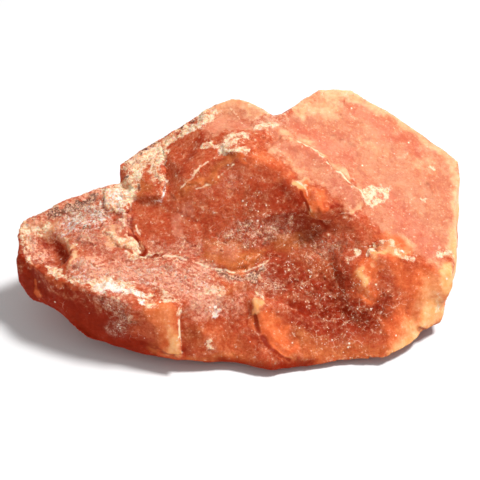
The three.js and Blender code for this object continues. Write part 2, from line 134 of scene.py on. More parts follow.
# Where each finish lies, as brush strokes over the stone: the brush's radius in millimetres, how
# strongly it covers, and the places that it runs through.
BRUSHWORK = {
    # The pale, smooth vein quartz of the bright slab, its colours lightened as painted sheen of the
    # light on it.
    "slab": [
        (5.0, 1.0, [(53, 37, 28), (60, 40, 27), (68, 38, 23.5), (76, 35, 19.5)]),
        (5.0, 1.0, [(57, 33, 25.5), (66, 31, 21.5), (75, 30, 18)]),
        (4.0, 1.0, [(64, 26, 20.5), (71, 24, 18), (77, 25, 16)]),
        (3.0, 1.0, [(68, 21, 17.5), (74, 19.5, 14.5)]),
        (3.0, 1.0, [(80.5, 35, 17), (80, 28, 15), (78.5, 21, 13.5)]),
        (2.5, 1.0, [(48, 31, 28), (54, 29.5, 26), (59, 27.5, 24)]),
        (3.5, 1.0, [(60, 44, 27.5), (68, 43.5, 25), (75, 41, 21.5), (79, 37, 19)]),
        (2.4, 0.9, [(35, 35, 29), (38, 37.5, 29.5), (41, 35, 29.5)]),
        (2.0, 0.8, [(38, 41, 30.8), (43, 39, 30.5)]),
        (2.0, 0.8, [(46, 36, 29.5), (48, 33, 29)]),
        (3.5, 0.9, [(54, 49, 24), (60, 52, 23), (67, 50, 20), (74, 47.5, 16)]),
        (1.9, 1.1, [(53, 27.5, 25.6), (56, 26, 24.6), (58.5, 24.2, 23.3), (60, 22.8, 22.3)]),
        (1.4, 0.9, [(63.4, 22, 20.4), (65.5, 21, 19), (67.5, 20, 17.8)]),
    ],
    # Rosy places of the slab.
    "flush": [
        (2.6, 0.9, [(66, 27, 20.3), (70.5, 23.5, 17.7), (75, 19, 14)]),
        (1.8, 0.8, [(63, 44, 27.5), (68, 41, 25), (73.5, 39, 21.5)]),
        (1.8, 0.8, [(51.5, 36.5, 28), (55, 34.5, 27), (60.5, 33, 24)]),
        (1.5, 0.45, [(49, 31, 28), (53, 30, 26.6), (57, 28, 25)]),
        (1.5, 0.7, [(35.5, 34.5, 28.8), (37.5, 36.5, 29.3), (40.5, 36, 29.5)]),
        (3.0, 0.8, [(58, 52.8, 21), (66, 51, 18), (73, 48.5, 15)]),
        (1.4, 0.8, [(57.5, 24.6, 23.7), (59.5, 23, 22.6), (60.5, 22.4, 22)]),
    ],
    # Creamy, yellow places of the slab and of the crest.
    "cream": [
        (2.0, 0.8, [(50, 42, 30.3), (53, 40.5, 29.8), (57, 42, 29), (58, 45.5, 29.6)]),
        (1.8, 0.7, [(52, 42.5, 30.5), (55, 44.5, 30.5), (57, 45.5, 30)]),
        (0.9, 1.3, [(51.5, 40.4, 29.9), (52.4, 39.7, 29.6), (53.3, 39.1, 29.2)]),
        (1.3, 0.9, [(57, 46, 29.5), (63, 47, 28.5), (69.5, 45, 25.5),
                    (75.5, 42, 21.5), (81, 38.5, 19)]),
        # Along the right rim: cream painted as light coming through the thin edge.
        (1.3, 1.0, [(81.3, 38, 18.5), (81.5, 34, 17), (81, 30, 15), (80, 24, 13.5), (79, 19, 12.5)]),
        (2.6, 1.1, [(82.3, 38, 16), (82.4, 33, 13), (81.8, 28, 10), (80.8, 22, 7.5), (79.5, 17, 6)]),
        (1.6, 0.9, [(34, 40.5, 29.5), (38, 41.3, 30.8), (42, 41.5, 31), (45, 39.5, 30.6)]),
        (0.8, 0.9, [(40.5, 40.5, 30.5), (42.5, 39.3, 30.5), (44.5, 38.5, 30.5)]),
        (1.8, 0.45, [(71, 37.5, 22), (74, 36, 20.7), (77, 36.5, 19.5)]),
        (1.3, 0.45, [(63, 38, 25), (67, 36, 23.5)]),
        (1.1, 0.8, [(69.5, 19, 16.6), (72.5, 17, 15.5), (75.5, 17, 13.5)]),
        (0.9, 0.8, [(49, 34, 28.6), (53, 32.5, 27), (58, 29.5, 24.8), (62, 25.5, 22.5)]),
        (1.0, 0.6, [(45, 30, 28.6), (49, 28.5, 27), (52, 27, 25.5)]),
        (1.3, 0.9, [(2, 22.3, 15.7), (4.5, 22.7, 16), (6.5, 21.5, 15.8)]),
        (0.6, 1.2, [(8.6, 20.2, 15.6), (9.7, 18, 15.8), (10.4, 15.5, 16),
                    (10.7, 12.5, 16), (10.3, 11.2, 14.8)]),
        (0.8, 1.3, [(43.4, 8.1, 8.9), (43.9, 8.7, 9.4)]),
        (1.4, 1.1, [(17.2, 25.9, 19.9), (18.2, 27.3, 20.3), (19.2, 29.2, 20.2)]),
        (1.0, 1.1, [(15.8, 24.1, 18.3), (15.1, 23.4, 17.9)]),
        (1.4, 1.3, [(17.6, 18.5, 17.2), (19.2, 17.6, 16.5), (20.8, 17.1, 16.1)]),
        (1.8, 0.8, [(76.8, 15.5, 12.5), (77.2, 13.8, 10.8), (76.3, 12.2, 9)]),
        (2.5, 0.8, [(64, 52, 22), (70, 49.5, 20), (76, 46.5, 16)]),
        (1.5, 0.8, [(48, 46, 27), (56, 51, 26), (62, 50.5, 26)]),
        (1.8, 1.1, [(57, 46.5, 29.8), (61, 48, 29.5), (64, 48, 28.5)]),
        (1.5, 1.0, [(78.5, 41, 19.8), (80.5, 39.5, 19), (81.8, 38, 18)]),
        (0.7, 1.1, [(60.2, 21.4, 21.2), (60.9, 21.9, 21.3), (61.3, 22.4, 21.4)]),
        (0.7, 1.1, [(50.5, 25.1, 25), (51.6, 25, 24.9), (52.8, 24.8, 24.8)]),
    ],
    # Rose grain of the broken faces.
    "rose": [
        (2.8, 1.0, SHELF),
        (2.5, 0.9, [(24.5, 10.5, 13.5), (30, 10, 13), (33.5, 8.5, 12.5), (36, 7.5, 12)]),
        (2.0, 0.6, [(33, 6, 10.5), (38, 6.5, 9.5), (40, 8.5, 10)]),
        (2.0, 1.0, [(3.5, 19, 13.8), (5, 18, 13.3), (6.2, 16.2, 13.3)]),
        (1.3, 0.6, [(1.5, 22.5, 15.5), (3.5, 23.5, 16.3), (7, 23.5, 16.6)]),
        (2.4, 1.0, [(9.5, 22, 16.5), (12, 23, 17.5), (15, 23.5, 18)]),
        (2.0, 0.8, [(5, 24.5, 17), (10, 26.5, 18), (15.5, 28.5, 20)]),
        (1.0, 0.7, [(18.5, 22, 17.5), (19.3, 20, 16.8)]),
        (1.6, 0.6, [(12, 19.5, 16.8), (15, 19, 16.9), (17, 21, 17.4)]),
        (1.5, 0.5, [(27, 16.8, 15.3), (32, 16.5, 15.2)]),
        (4.0, 0.7, [(24, 40, 14), (30, 45.5, 14), (37, 47.5, 18), (44, 46, 23)]),
        (3.0, 0.6, [(10, 28.5, 13), (16, 31, 15), (22, 37.5, 18)]),
    ],
    # Cream, sugary crust.
    "crust": [
        (1.9, 1.0, [(20.5, 30.5, 22), (21.5, 32.5, 23.5), (24.5, 34.5, 24.5)]),
        (1.2, 1.0, [(25.3, 33, 23.8), (25.6, 28.5, 22.3)]),
        (0.6, 0.6, [(22.5, 25.8, 20), (25, 25.4, 20.5)]),
        (0.8, 0.9, [(20.2, 28, 21), (21.2, 26.6, 20)]),
        (1.1, 1.0, [(26, 35.6, 24.7), (29.5, 36.3, 26.7), (32, 36.8, 28.2), (34.5, 38.3, 29)]),
        (0.6, 0.9, [(29, 37.8, 26.9), (32, 38.8, 28.3), (35, 40, 29.6)]),
        (0.8, 1.0, [(31, 37.3, 28.3), (33, 37.8, 28.8)]),
        (0.8, 0.8, [(38.5, 31.5, 29.4), (41, 31.5, 29.8), (43.5, 31, 29.6)]),
        (0.9, 1.0, [(36.5, 30.7, 28.3), (38.3, 30.1, 29.1), (40.1, 30.2, 29.8)]),
        (0.7, 1.0, [(37.2, 29, 28.4), (39.1, 27.9, 29)]),
        (0.4, 1.2, [(32.9, 30.1, 27), (33.1, 30.1, 27.1)]),
        (0.6, 0.8, [(33.6, 31.9, 27.9), (35.2, 31, 28)]),
        (0.6, 0.9, [(40.5, 28, 29), (42.5, 27.5, 28.6)]),
        (0.7, 0.8, [(33.1, 39.1, 28.7), (34.6, 39.6, 29.5), (35.9, 40.1, 29.8)]),
        (0.8, 0.9, [(43.5, 34, 29.7), (47, 35, 29.3)]),
        (1.4, 1.1, [(18.5, 28.8, 20.4), (19.3, 26.5, 20.3), (18.3, 25, 19.4)]),
        (1.2, 0.9, [(16.2, 28, 20.3), (17.3, 26.5, 19.6), (16.8, 24.6, 18.8)]),
        (0.6, 1.2, [(18.2, 17.2, 16.2), (19.4, 16.7, 15.6), (20.5, 16.4, 15.4), (21.6, 16.2, 15.1)]),
        (0.6, 1.0, [(16.5, 19, 17.4), (18, 18.4, 17.1), (20, 18, 16.8), (21.3, 17.3, 16.1)]),
        (0.5, 1.0, [(19, 24.5, 19.5), (20, 20.5, 17.5), (20.5, 18.5, 16.4), (21.5, 16.5, 15.5)]),
        (0.7, 1.0, [(2.2, 18, 13.8), (4.2, 15.3, 13.9), (6.7, 12.4, 14.3),
                    (9.5, 10, 14.8), (14, 8.8, 14.5)]),
        (1.4, 1.1, [(15.5, 8, 14.3), (17.5, 8.7, 14.5), (20.5, 8.5, 14.1)]),
        (1.2, 1.0, [(20, 7.2, 14), (23, 6, 13.2), (25.5, 5.6, 12.7)]),
        (0.8, 0.9, [(27, 5.6, 12.5), (29.7, 5.8, 12.4), (30, 4.5, 11)]),
        (0.4, 1.2, BULGE_EDGE),
        (0.6, 0.9, [(20, 15.3, 14.6), (22, 15.6, 14.5), (25, 16, 14.6)]),
        (0.8, 0.6, [(24.5, 9.3, 13), (28.5, 7.2, 12.5)]),
        (0.9, 0.7, [(1.5, 22, 15.5), (2, 20.5, 14.5), (2, 18.5, 13.8)]),
        (0.9, 0.9, [(2.7, 21.6, 15.2), (4.1, 22.4, 15.7), (5.8, 22.6, 16)]),
        (0.8, 1.25, [(63, 23.5, 21.3), (63.3, 25.6, 21.4), (64.6, 27.2, 21.1), (66, 28, 20.7)]),
        (0.8, 1.25, [(66, 28, 20.7), (66.8, 26.4, 19.8), (65.8, 24.8, 19.8), (63.8, 23.8, 20.4)]),
        (0.5, 1.2, [(63.1, 15.8, 15.5), (64, 16.3, 16), (65.1, 17.1, 16.2), (66.6, 17.6, 16.5)]),
        (0.5, 1.0, [(60.5, 16.4, 15.2), (59.8, 16, 14.4)]),
        (0.45, 0.95, [(68, 16.8, 15.8), (69, 16.1, 15.2), (70.5, 15.6, 14.6), (71.8, 15.8, 14.1)]),
        (0.6, 0.8, [(76.7, 18.6, 13.2), (78.8, 18, 12.3)]),
        (0.7, 1.3, [(33.9, 8.5, 12.5), (34.9, 8.7, 12.3), (36.1, 9.1, 12), (37.3, 9.2, 12.2)]),
        (0.35, 1.0, [(43, 11.3, 10.4), (43.6, 10.5, 10.3), (44.2, 9.8, 10.1)]),
        (0.5, 1.2, [(35.4, 3.4, 6.4), (35.6, 2.7, 5)]),
        (0.6, 0.8, [(60.3, 16.3, 15), (59.3, 15.6, 13.8)]),
        (0.5, 0.7, [(75.9, 12.2, 8), (76.2, 12.2, 6.7), (75.8, 11.6, 5.3)]),
        (0.4, 1.0, [(74, 28.5, 18), (75, 27.8, 17.3), (76, 28.4, 17)]),
        (0.3, 1.0, [(76.3, 35.2, 19.3), (78.3, 36, 18.8)]),
        (0.35, 0.8, [(60, 44.2, 28), (61.5, 43.5, 27.5), (62.5, 43.3, 27)]),
        (0.8, 0.9, [(20, 35.5, 12), (26, 42.5, 9), (33, 45.5, 7)]),
        (0.6, 0.9, [(50, 49, 15), (57, 52.5, 17), (63, 52.3, 20)]),
        (1.0, 0.8, [(60, 50, 9), (68, 49.5, 8), (74, 46.5, 8)]),
    ],
    # Pale dust and bruises on the clean quartz.
    "dust": [
        (1.8, 0.9, [(17, 6, 13.5), (18.5, 5, 12), (20, 4.5, 10.5)]),
        (1.5, 0.8, [(20.5, 4, 9), (18.5, 4.5, 7)]),
        (1.0, 0.65, [(34.5, 13.6, 13.2), (37, 12.6, 12.8), (40, 12.1, 12.4),
                     (43, 13.4, 12.8), (44.8, 15.8, 13)]),
        (2.0, 0.7, [(39, 18.5, 16.8), (44, 19, 17), (48, 20, 18)]),
        (1.2, 0.4, [(34, 24, 23), (39, 25.3, 25)]),
        (1.6, 0.8, [(33.5, 7.5, 11.3), (37, 7, 10)]),
        (0.8, 0.35, [(35.5, 3.5, 6.5), (36, 2.5, 4.5)]),
        (2.0, 0.5, UNDER_CHIP),
        (1.5, 0.6, [(25, 17.3, 15.3), (32, 17.3, 15.8)]),
        (1.6, 0.6, [(42, 11, 11.5), (47, 13, 11)]),
        (1.5, 0.25, [(57, 26, 24.4), (61.5, 24.5, 22.3)]),
        (2.0, 0.8, [(46, 38, 30), (45, 36, 29.6), (48, 37, 29.8)]),
        (1.4, 0.8, [(19.2, 23, 18.2), (20, 21, 17.4)]),
        (2.0, 0.5, [(12.5, 18.5, 16.5), (15, 16, 16), (18, 16, 15.4)]),
        (2.0, 1.0, [(10, 24, 17.3), (14, 25, 18.5)]),
        (3.0, 0.8, [(30, 45, 18), (38, 47.5, 13), (45, 47.5, 10)]),
        (2.0, 0.8, [(60, 52, 12), (68, 50.5, 12)]),
    ],
    # Clear orange-brown quartz.
    "amber": [
        (1.1, 0.75, [(29.6, 24.3, 22.2), (31.9, 24.7, 23.7), (35.5, 26.1, 25.4),
                     (38, 27, 26.9), (40.1, 27.1, 28.2)]),
        (1.5, 1.0, [(34.4, 15.6, 14.7), (37, 14.6, 14.4), (40.2, 14.5, 14.2), (43.7, 15.9, 14.5)]),
        (1.8, 0.6, [(35.5, 16.9, 15.4), (37.8, 17.4, 15.7), (40.5, 17, 15.6), (43.2, 16.6, 15.2)]),
        (1.2, 0.7, [(44.5, 17, 14.3), (47, 18.8, 14.8), (50.5, 19.3, 15.5)]),
        (2.2, 0.65, [(51, 4.4, 4), (53, 3.4, 2.8), (60, 3.3, 2.2), (66, 3.5, 2)]),
        (1.6, 0.7, [(32, 1.8, 2.4), (38, 1.6, 2), (43, 1.3, 1.8)]),
        (1.5, 0.7, [(21.5, 29.5, 22), (22.5, 27, 21.5)]),
        (1.6, 0.6, [(24.5, 5.5, 12), (26, 4, 8), (25.5, 3, 5)]),
        (1.5, 0.6, [(33, 8.6, 12), (40, 9.6, 11.3), (44, 11, 11.5)]),
        (3.0, 0.4, [(52, 18, 15), (55, 16, 12.5)]),
        (0.9, 0.5, [(12.5, 13.6, 15.8), (15, 14, 15.3)]),
        (1.2, 0.5, [(22, 26, 21), (24.5, 26, 21)]),
        (0.7, 1.2, [(36.4, 14.5, 13.8), (38.4, 14.2, 13.8), (40.2, 14.4, 13.6),
                    (41.9, 14.7, 13.7), (43.7, 15.9, 13.7)]),
        (2.5, 0.5, [(51, 4.5, 4), (56, 3.2, 2.2), (62, 3.3, 2.2)]),
        (2.0, 0.8, [(34, 44.5, 6), (44, 45.5, 5), (54, 48, 6)]),
        (1.2, 0.8, [(53.5, 19.9, 21.2), (54.1, 19.7, 20.1)]),
        (2.2, 0.38, [(32.5, 3.6, 7), (36.1, 3.8, 6), (40, 3.5, 3.8)]),
    ],
    # Clear orange quartz, partly painted glow of light through thin parts, also on flanks that face
    # away from the light.
    "ember": [
        (2.0, 1.0, [(27, 4, 11.2), (27.8, 2.6, 8.8), (28.4, 1.8, 6.7), (28, 1.5, 5.1)]),
        (1.6, 1.3, [(44.2, 6.7, 7.3), (45.2, 5.6, 6.2), (46.8, 4.4, 4.8), (48.4, 3.2, 3.5)]),
        (1.3, 1.0, [(46.3, 7.4, 7.4), (47.9, 6.4, 6.1)]),
        (1.0, 1.3, [(52.3, 23.9, 24.4), (52.8, 23, 24), (53.3, 22, 23.4),
                    (53.9, 20.9, 22.7), (54.3, 20.2, 22.1)]),
        (1.0, 1.0, [(54.4, 22.4, 23.5), (55.1, 21.4, 22.8), (55.6, 20.3, 22.2)]),
        (0.6, 0.55, [(36, 14.1, 13.7), (38.2, 13.9, 13.6), (40.4, 14.1, 13.5), (42.3, 14.5, 13.6)]),
        (0.7, 1.0, [(29.2, 24.3, 22), (29.6, 24.2, 21.6)]),
        (0.7, 1.0, [(41.2, 26.9, 28.1), (42.2, 26.4, 27.4)]),
        (1.6, 1.2, [(63.2, 14.3, 15), (62.7, 12.8, 13.7), (62.4, 11.6, 11.8),
                    (62.6, 10.6, 10.5), (63.2, 10.1, 9.6)]),
        (3.6, 0.9, [(69, 6.5, 4), (72, 9, 6), (74, 13, 10)]),
        (2.0, 0.5, [(69.5, 14, 13), (71, 12.5, 11), (72, 12.3, 10)]),
        (1.8, 1.0, [(77.5, 14.5, 12), (77, 12.5, 8)]),
        (1.0, 0.7, [(14, 13, 15.4), (16.5, 13.9, 14.7)]),
        (1.2, 0.6, [(43, 28, 28.6), (46, 27, 27), (49, 26, 25.6)]),
        (1.4, 0.8, [(66, 18.5, 17), (70, 17, 15.5)]),
        (0.5, 0.5, [(3, 15.8, 12.9), (5, 13, 13), (8, 10, 13.6), (12.5, 7.9, 13.8)]),
        (1.0, 0.9, [(14, 26.8, 18.9), (15.2, 25.4, 18.7), (16.6, 24.2, 18.7)]),
        (0.7, 0.9, [(3.6, 13.8, 10.4), (4.5, 12.6, 9.6)]),
        (2.0, 0.7, [(67.5, 14.2, 14.5), (69, 13.4, 12.8), (70.4, 12.5, 11.2)]),
        (0.5, 0.9, [(5.9, 23.6, 16.6), (7, 23.3, 16.6)]),
        (2.5, 0.6, [(66, 48.5, 6), (74, 45, 6)]),
        (1.4, 1.3, [(74.8, 13.1, 10.5), (75.6, 12.5, 9.4), (76, 12.1, 8.3), (74.6, 12, 7.5)]),
        (1.4, 0.8, [(76.6, 12.4, 7.2), (77.1, 12.9, 6.4), (77.5, 13.5, 5.5), (76, 12, 5)]),
    ],
    # Painted glow: thin edges painted bright as if the light came through them.
    "glow": [
        (0.8, 1.2, [(62.8, 13.5, 14.4), (62, 12.8, 13.8), (62.1, 12, 12.6), (62.9, 11.3, 11.8)]),
        (0.8, 1.3, [(43.4, 8.1, 9), (43.9, 8.7, 9.6)]),
        (1.6, 1.1, [(78.2, 14.5, 12), (78, 13.6, 10.5), (77.8, 12.8, 9)]),
        (2.4, 0.9, [(69, 3.8, 1.5), (73.5, 7.5, 3.5), (76, 11, 6)]),
        (2.0, 0.55, [(70, 6.5, 4), (73, 9.3, 6.2), (75, 13, 10)]),
        (1.3, 0.9, [(28.7, 2.1, 7.4), (29.3, 2.1, 6), (28.8, 1.6, 4.8)]),
        (0.55, 1.2, [(50.3, 25, 25), (51.2, 24.6, 24.6), (52.1, 24, 24.4)]),
        (0.35, 1.0, [(53.3, 20.4, 21.9), (54, 19.9, 20.9)]),
        (0.7, 0.35, [(49.5, 2.3, 2.6), (51.5, 2.2, 2)]),
        (1.2, 1.2, [(80.3, 23, 12), (80.1, 19.2, 9.7), (79.3, 15.5, 8)]),
        (1.6, 0.8, [(79.5, 20, 12), (80.5, 26, 12), (81.5, 33, 14)]),
        (1.5, 1.0, [(82.2, 34.5, 12), (82, 32, 10), (81, 27, 8.5),
                    (80, 20, 9), (79.7, 17.5, 8), (78.8, 14.5, 7)]),
        (0.9, 0.75, [(64.5, 15.9, 15.8), (66.1, 15.8, 15.5), (67.3, 16.2, 15.5), (69.5, 16.4, 15.2)]),
        (1.6, 0.35, [(27, 4, 11.2), (28.2, 2.2, 7.5)]),
    ],
    # Deep red-brown where the stone is clean and thick, and painted shade in the wall, pit, hollow and
    # chip's shadow.
    "deep": [
        (4.0, 1.9, [(2, 16, 10), (5, 12, 9.5), (9, 8.5, 9), (14, 6, 8.5), (17, 5, 7)]),
        (3.0, 1.7, [(12, 7, 6), (17, 5, 4.5), (23, 3.5, 3)]),
        (1.3, 1.1, [(4, 13.8, 11.7), (8, 10, 12.3), (13, 7.2, 12.6), (15.5, 6.3, 12.3)]),
        (1.0, 1.6, [(6.9, 20.5, 14), (8.5, 18.5, 13.3), (9.3, 16.5, 13.6), (9.9, 13.8, 14.6)]),
        (1.1, 1.3, [(5.6, 21.4, 14.5), (6.6, 20.2, 14), (7.7, 18.4, 13.5), (8.5, 16.4, 13.4)]),
        (1.2, 1.3, [(50.4, 23, 22.6), (51.4, 22, 21.8), (52.4, 20.6, 20.2)]),
        (1.2, 1.1, [(52, 21, 19.6), (56, 20.4, 18.2)]),
        (1.0, 1.3, [(57.5, 20.8, 21.6), (58.4, 20.7, 21.2), (59.5, 20.9, 21.3)]),
        (3.0, 0.8, [(47.5, 23.5, 23), (49.5, 21.5, 19.5), (53, 20, 16)]),
        (0.9, 1.1, [(46.8, 1.5, 2.3), (48.6, 1.0, 1.3)]),
        (4.5, 0.85, [(49, 15, 12), (53, 14.5, 11.3), (57, 13.5, 10)]),
        (4.0, 1.0, [(52, 9, 6.5), (58, 9, 6.5), (64, 9, 7)]),
        (1.8, 0.6, [(65.5, 13, 13), (67.5, 12.5, 11.5), (66, 11, 9.5)]),
        (1.4, 0.7, [(68, 15, 14.8), (70, 13.8, 13)]),
        (1.6, 0.7, [(32, 4, 7.5), (31.5, 2.8, 5)]),
        (0.8, 1.4, [(20.6, 22, 17.3), (21.1, 20.6, 16.5), (21.8, 18.8, 15.8),
                    (22.5, 17.2, 15), (23, 16.2, 14.5)]),
        (1.0, 0.8, [(23, 27.5, 21.6), (24, 25.5, 21)]),
        (1.5, 0.7, [(31, 31, 27), (30, 28, 25)]),
        (1.5, 0.6, [(22, 39, 20), (27, 39.5, 24)]),
        (1.2, 0.8, [(33, 33, 28.4), (34.5, 33.5, 28.8)]),
        (5.0, 0.55, [(46, 24, 22), (44, 20, 17.5), (48, 18, 14.5)]),
        (4.0, 0.35, [(29, 20, 18), (34, 19, 17)]),
        (0.6, 1.4, [(19, 30.5, 21.7), (20.5, 33.2, 23.5), (23.5, 36.2, 24.2),
                    (27, 37.6, 26), (31.5, 39.4, 28)]),
        (0.6, 1.4, [(31.5, 39.4, 28), (34.2, 40.7, 29.6), (36.8, 41.9, 30.5)]),
        (1.5, 0.7, [(39, 6, 7.5), (38, 4.5, 5.5)]),
        (4.5, 0.9, [(52, 49, 13), (60, 52, 13), (68, 50.5, 14)]),
        (4.0, 0.8, [(14, 31, 9), (22, 38.5, 9), (28, 44, 12)]),
        (0.9, 0.7, [(37.3, 12.4, 12.7), (39.6, 12.3, 12.6), (41.8, 13, 12.4),
                    (43.6, 14.2, 12.4), (44.9, 15.4, 12.3)]),
        (1.8, 0.6, [(12.8, 18.1, 16.3), (15.1, 16, 16.2), (17.1, 14.8, 15.5)]),
        (1.6, 0.5, PIT),
        (1.0, 1.1, [(42.7, 7.2, 7.8), (42.8, 5.8, 6.4), (43.8, 3.9, 5),
                    (45.9, 2.1, 3.3), (48.2, 1.4, 2.1)]),
    ],
    # Dark grey-brown mineral in the broken faces.
    "mineral": [
        (0.8, 1.3, [(8, 25.7, 17.9), (9.4, 26.1, 18.2), (11, 26.4, 18.4), (13.1, 26.8, 18.8)]),
        (1.0, 0.85, [(6.5, 25, 17.4), (11, 25.6, 18), (14, 26.6, 19)]),
        (2.6, 0.56, [(9, 24, 17.2), (12, 24, 17.6), (14.5, 25, 18.2)]),
        (2.4, 0.27, SHELF),
        (0.5, 0.7, [(21.3, 27.5, 21), (23.3, 26, 20.8)]),
        (0.5, 0.6, [(15, 23.5, 17.8), (16.5, 22.5, 17.3), (18, 22.3, 17.2)]),
        (0.35, 1.2, [(12.9, 21, 17.1), (13.2, 21, 17.1)]),
        (0.4, 0.8, [(1, 23.5, 16), (4, 25, 17), (7, 26, 18)]),
        (0.5, 0.9, [(19, 30.6, 21.8), (22.3, 35.1, 24.2), (28.3, 38.1, 26.5), (34.5, 41, 29.5)]),
        (0.4, 0.7, [(34.6, 39.9, 29.5), (36.5, 40.9, 30.2)]),
        # The next three strokes, under the lip's edge, are painted shade in grey-brown.
        (0.8, 0.8, [(36.1, 12.8, 13), (39.1, 12.7, 12.7), (41.9, 12.9, 12.5),
                    (43.2, 13.7, 12.3), (44.6, 14.8, 12.1)]),
        (1.4, 0.42, [(41.8, 13, 12.4), (43.8, 14, 12.3), (45.2, 15, 12.3)]),
        (1.1, 0.45, [(36.5, 13, 13), (39.5, 12.5, 12.7), (42, 13, 12.5)]),
        (0.7, 0.5, [(6.3, 21, 15.2), (5.2, 21.5, 15.4)]),
        (1.2, 0.6, [(24, 40, 12), (30, 46, 12), (37, 48, 15)]),
        (1.8, 0.33, PIT),
    ],
    # White, sugary quartz.
    "white": [
        (0.7, 1.4, [(36.5, 6.6, 9.4), (36.8, 6.4, 8.8)]),
        (1.0, 0.9, [(36.6, 6.6, 9.3), (37, 6.4, 8.6)]),
        (0.35, 1.3, [(35.1, 5.8, 10), (35.3, 5.9, 9.8)]),
        (0.8, 0.5, [(17.3, 27.2, 20.1), (18.7, 26, 20)]),
        (1.1, 0.75, [(15.8, 7.8, 14.3), (18.5, 7.6, 14), (21.5, 6.8, 13.6), (24, 5.6, 12.8)]),
        (0.5, 0.55, [(44.3, 15.6, 12.8), (44, 14.5, 12.5)]),
        (0.5, 0.8, [(25.6, 25, 20.6), (25.8, 28, 22.2)]),
        (0.3, 0.8, [(68.7, 17, 15.7), (69.6, 16.4, 15.2)]),
        (2.6, 0.37, [(9, 22.5, 16.8), (13, 22.5, 17), (16, 25, 18.6)]),
        (1.0, 0.5, [(17.2, 25.9, 19.9), (18.4, 24.8, 19.6), (19.2, 24, 19.1)]),
        (2.4, 0.24, [(13, 11, 15), (20, 11.5, 14.3), (27, 11.5, 14), (32, 10.5, 13)]),
        (1.5, 0.6, [(46, 47.5, 17), (52, 49.5, 18)]),
    ],
    # Smears of the finest dust.
    "haze": [
        (1.0, 1.3, [(30.3, 23, 21), (30.2, 21.5, 19), (29.5, 19, 17.3)]),
        (1.6, 0.3, [(13, 18.3, 16.6), (16.5, 15.8, 15.8)]),
        (1.4, 0.9, [(36, 16.5, 15.2), (38, 16.3, 15)]),
        (2.0, 0.7, [(14, 11.5, 15), (24, 12.5, 14), (33, 11, 13.2)]),
        (1.2, 0.8, [(19.3, 23, 18), (20.5, 20, 17)]),
        (1.6, 0.6, [(33, 7, 11), (37, 8.5, 11.5)]),
    ],
    # Clean faces: a finish lies here only where it is painted, and the bright flakes, partly painted
    # glints, stay away.
    "clear": [
        (4.5, 1.1, [(2.5, 15.5, 9), (9, 8.5, 8), (16, 5.5, 6), (24, 3.8, 4.5), (29, 3, 3)]),
        (2.5, 0.6, [(33, 4, 6), (40, 4, 5)]),
        (3.0, 0.6, [(71, 9, 6), (73.5, 12.5, 9.5), (75, 16, 12)]),
    ],
    # White specks, partly painted glints of light caught on them.
    "specks": [
        (4.5, 0.9, [(44, 15, 12.5), (50, 14, 11), (55, 13, 9.7), (60, 14, 11)]),
        (3.5, 1.0, UNDER_CHIP),
        (3.2, 0.9, [(57, 10, 7), (63, 9, 7), (66.5, 9.5, 7.5)]),
        (2.5, 0.6, [(52, 6, 5), (60, 5, 3.5)]),
        (1.0, 1.4, [(63.5, 16, 15.6), (66.5, 17.5, 16.5)]),
        (3.0, 0.6, [(24, 13, 14), (34, 11, 13.2)]),
        (2.2, 1.0, [(18, 5.5, 12), (20.5, 4, 8.5)]),
        (3.0, 1.0, [(36, 18, 16.5), (44, 19, 17.5), (48, 20, 18)]),
        (2.0, 0.7, [(12, 11, 15), (17, 12, 14.5)]),
        (2.5, 0.9, [(12, 17, 16.5), (16, 22, 17.5)]),
        (1.5, 0.3, [(6, 11, 9), (9, 9, 9)]),
        (4.0, 0.4, [(33, 20, 18), (42, 24, 22)]),
    ],
}
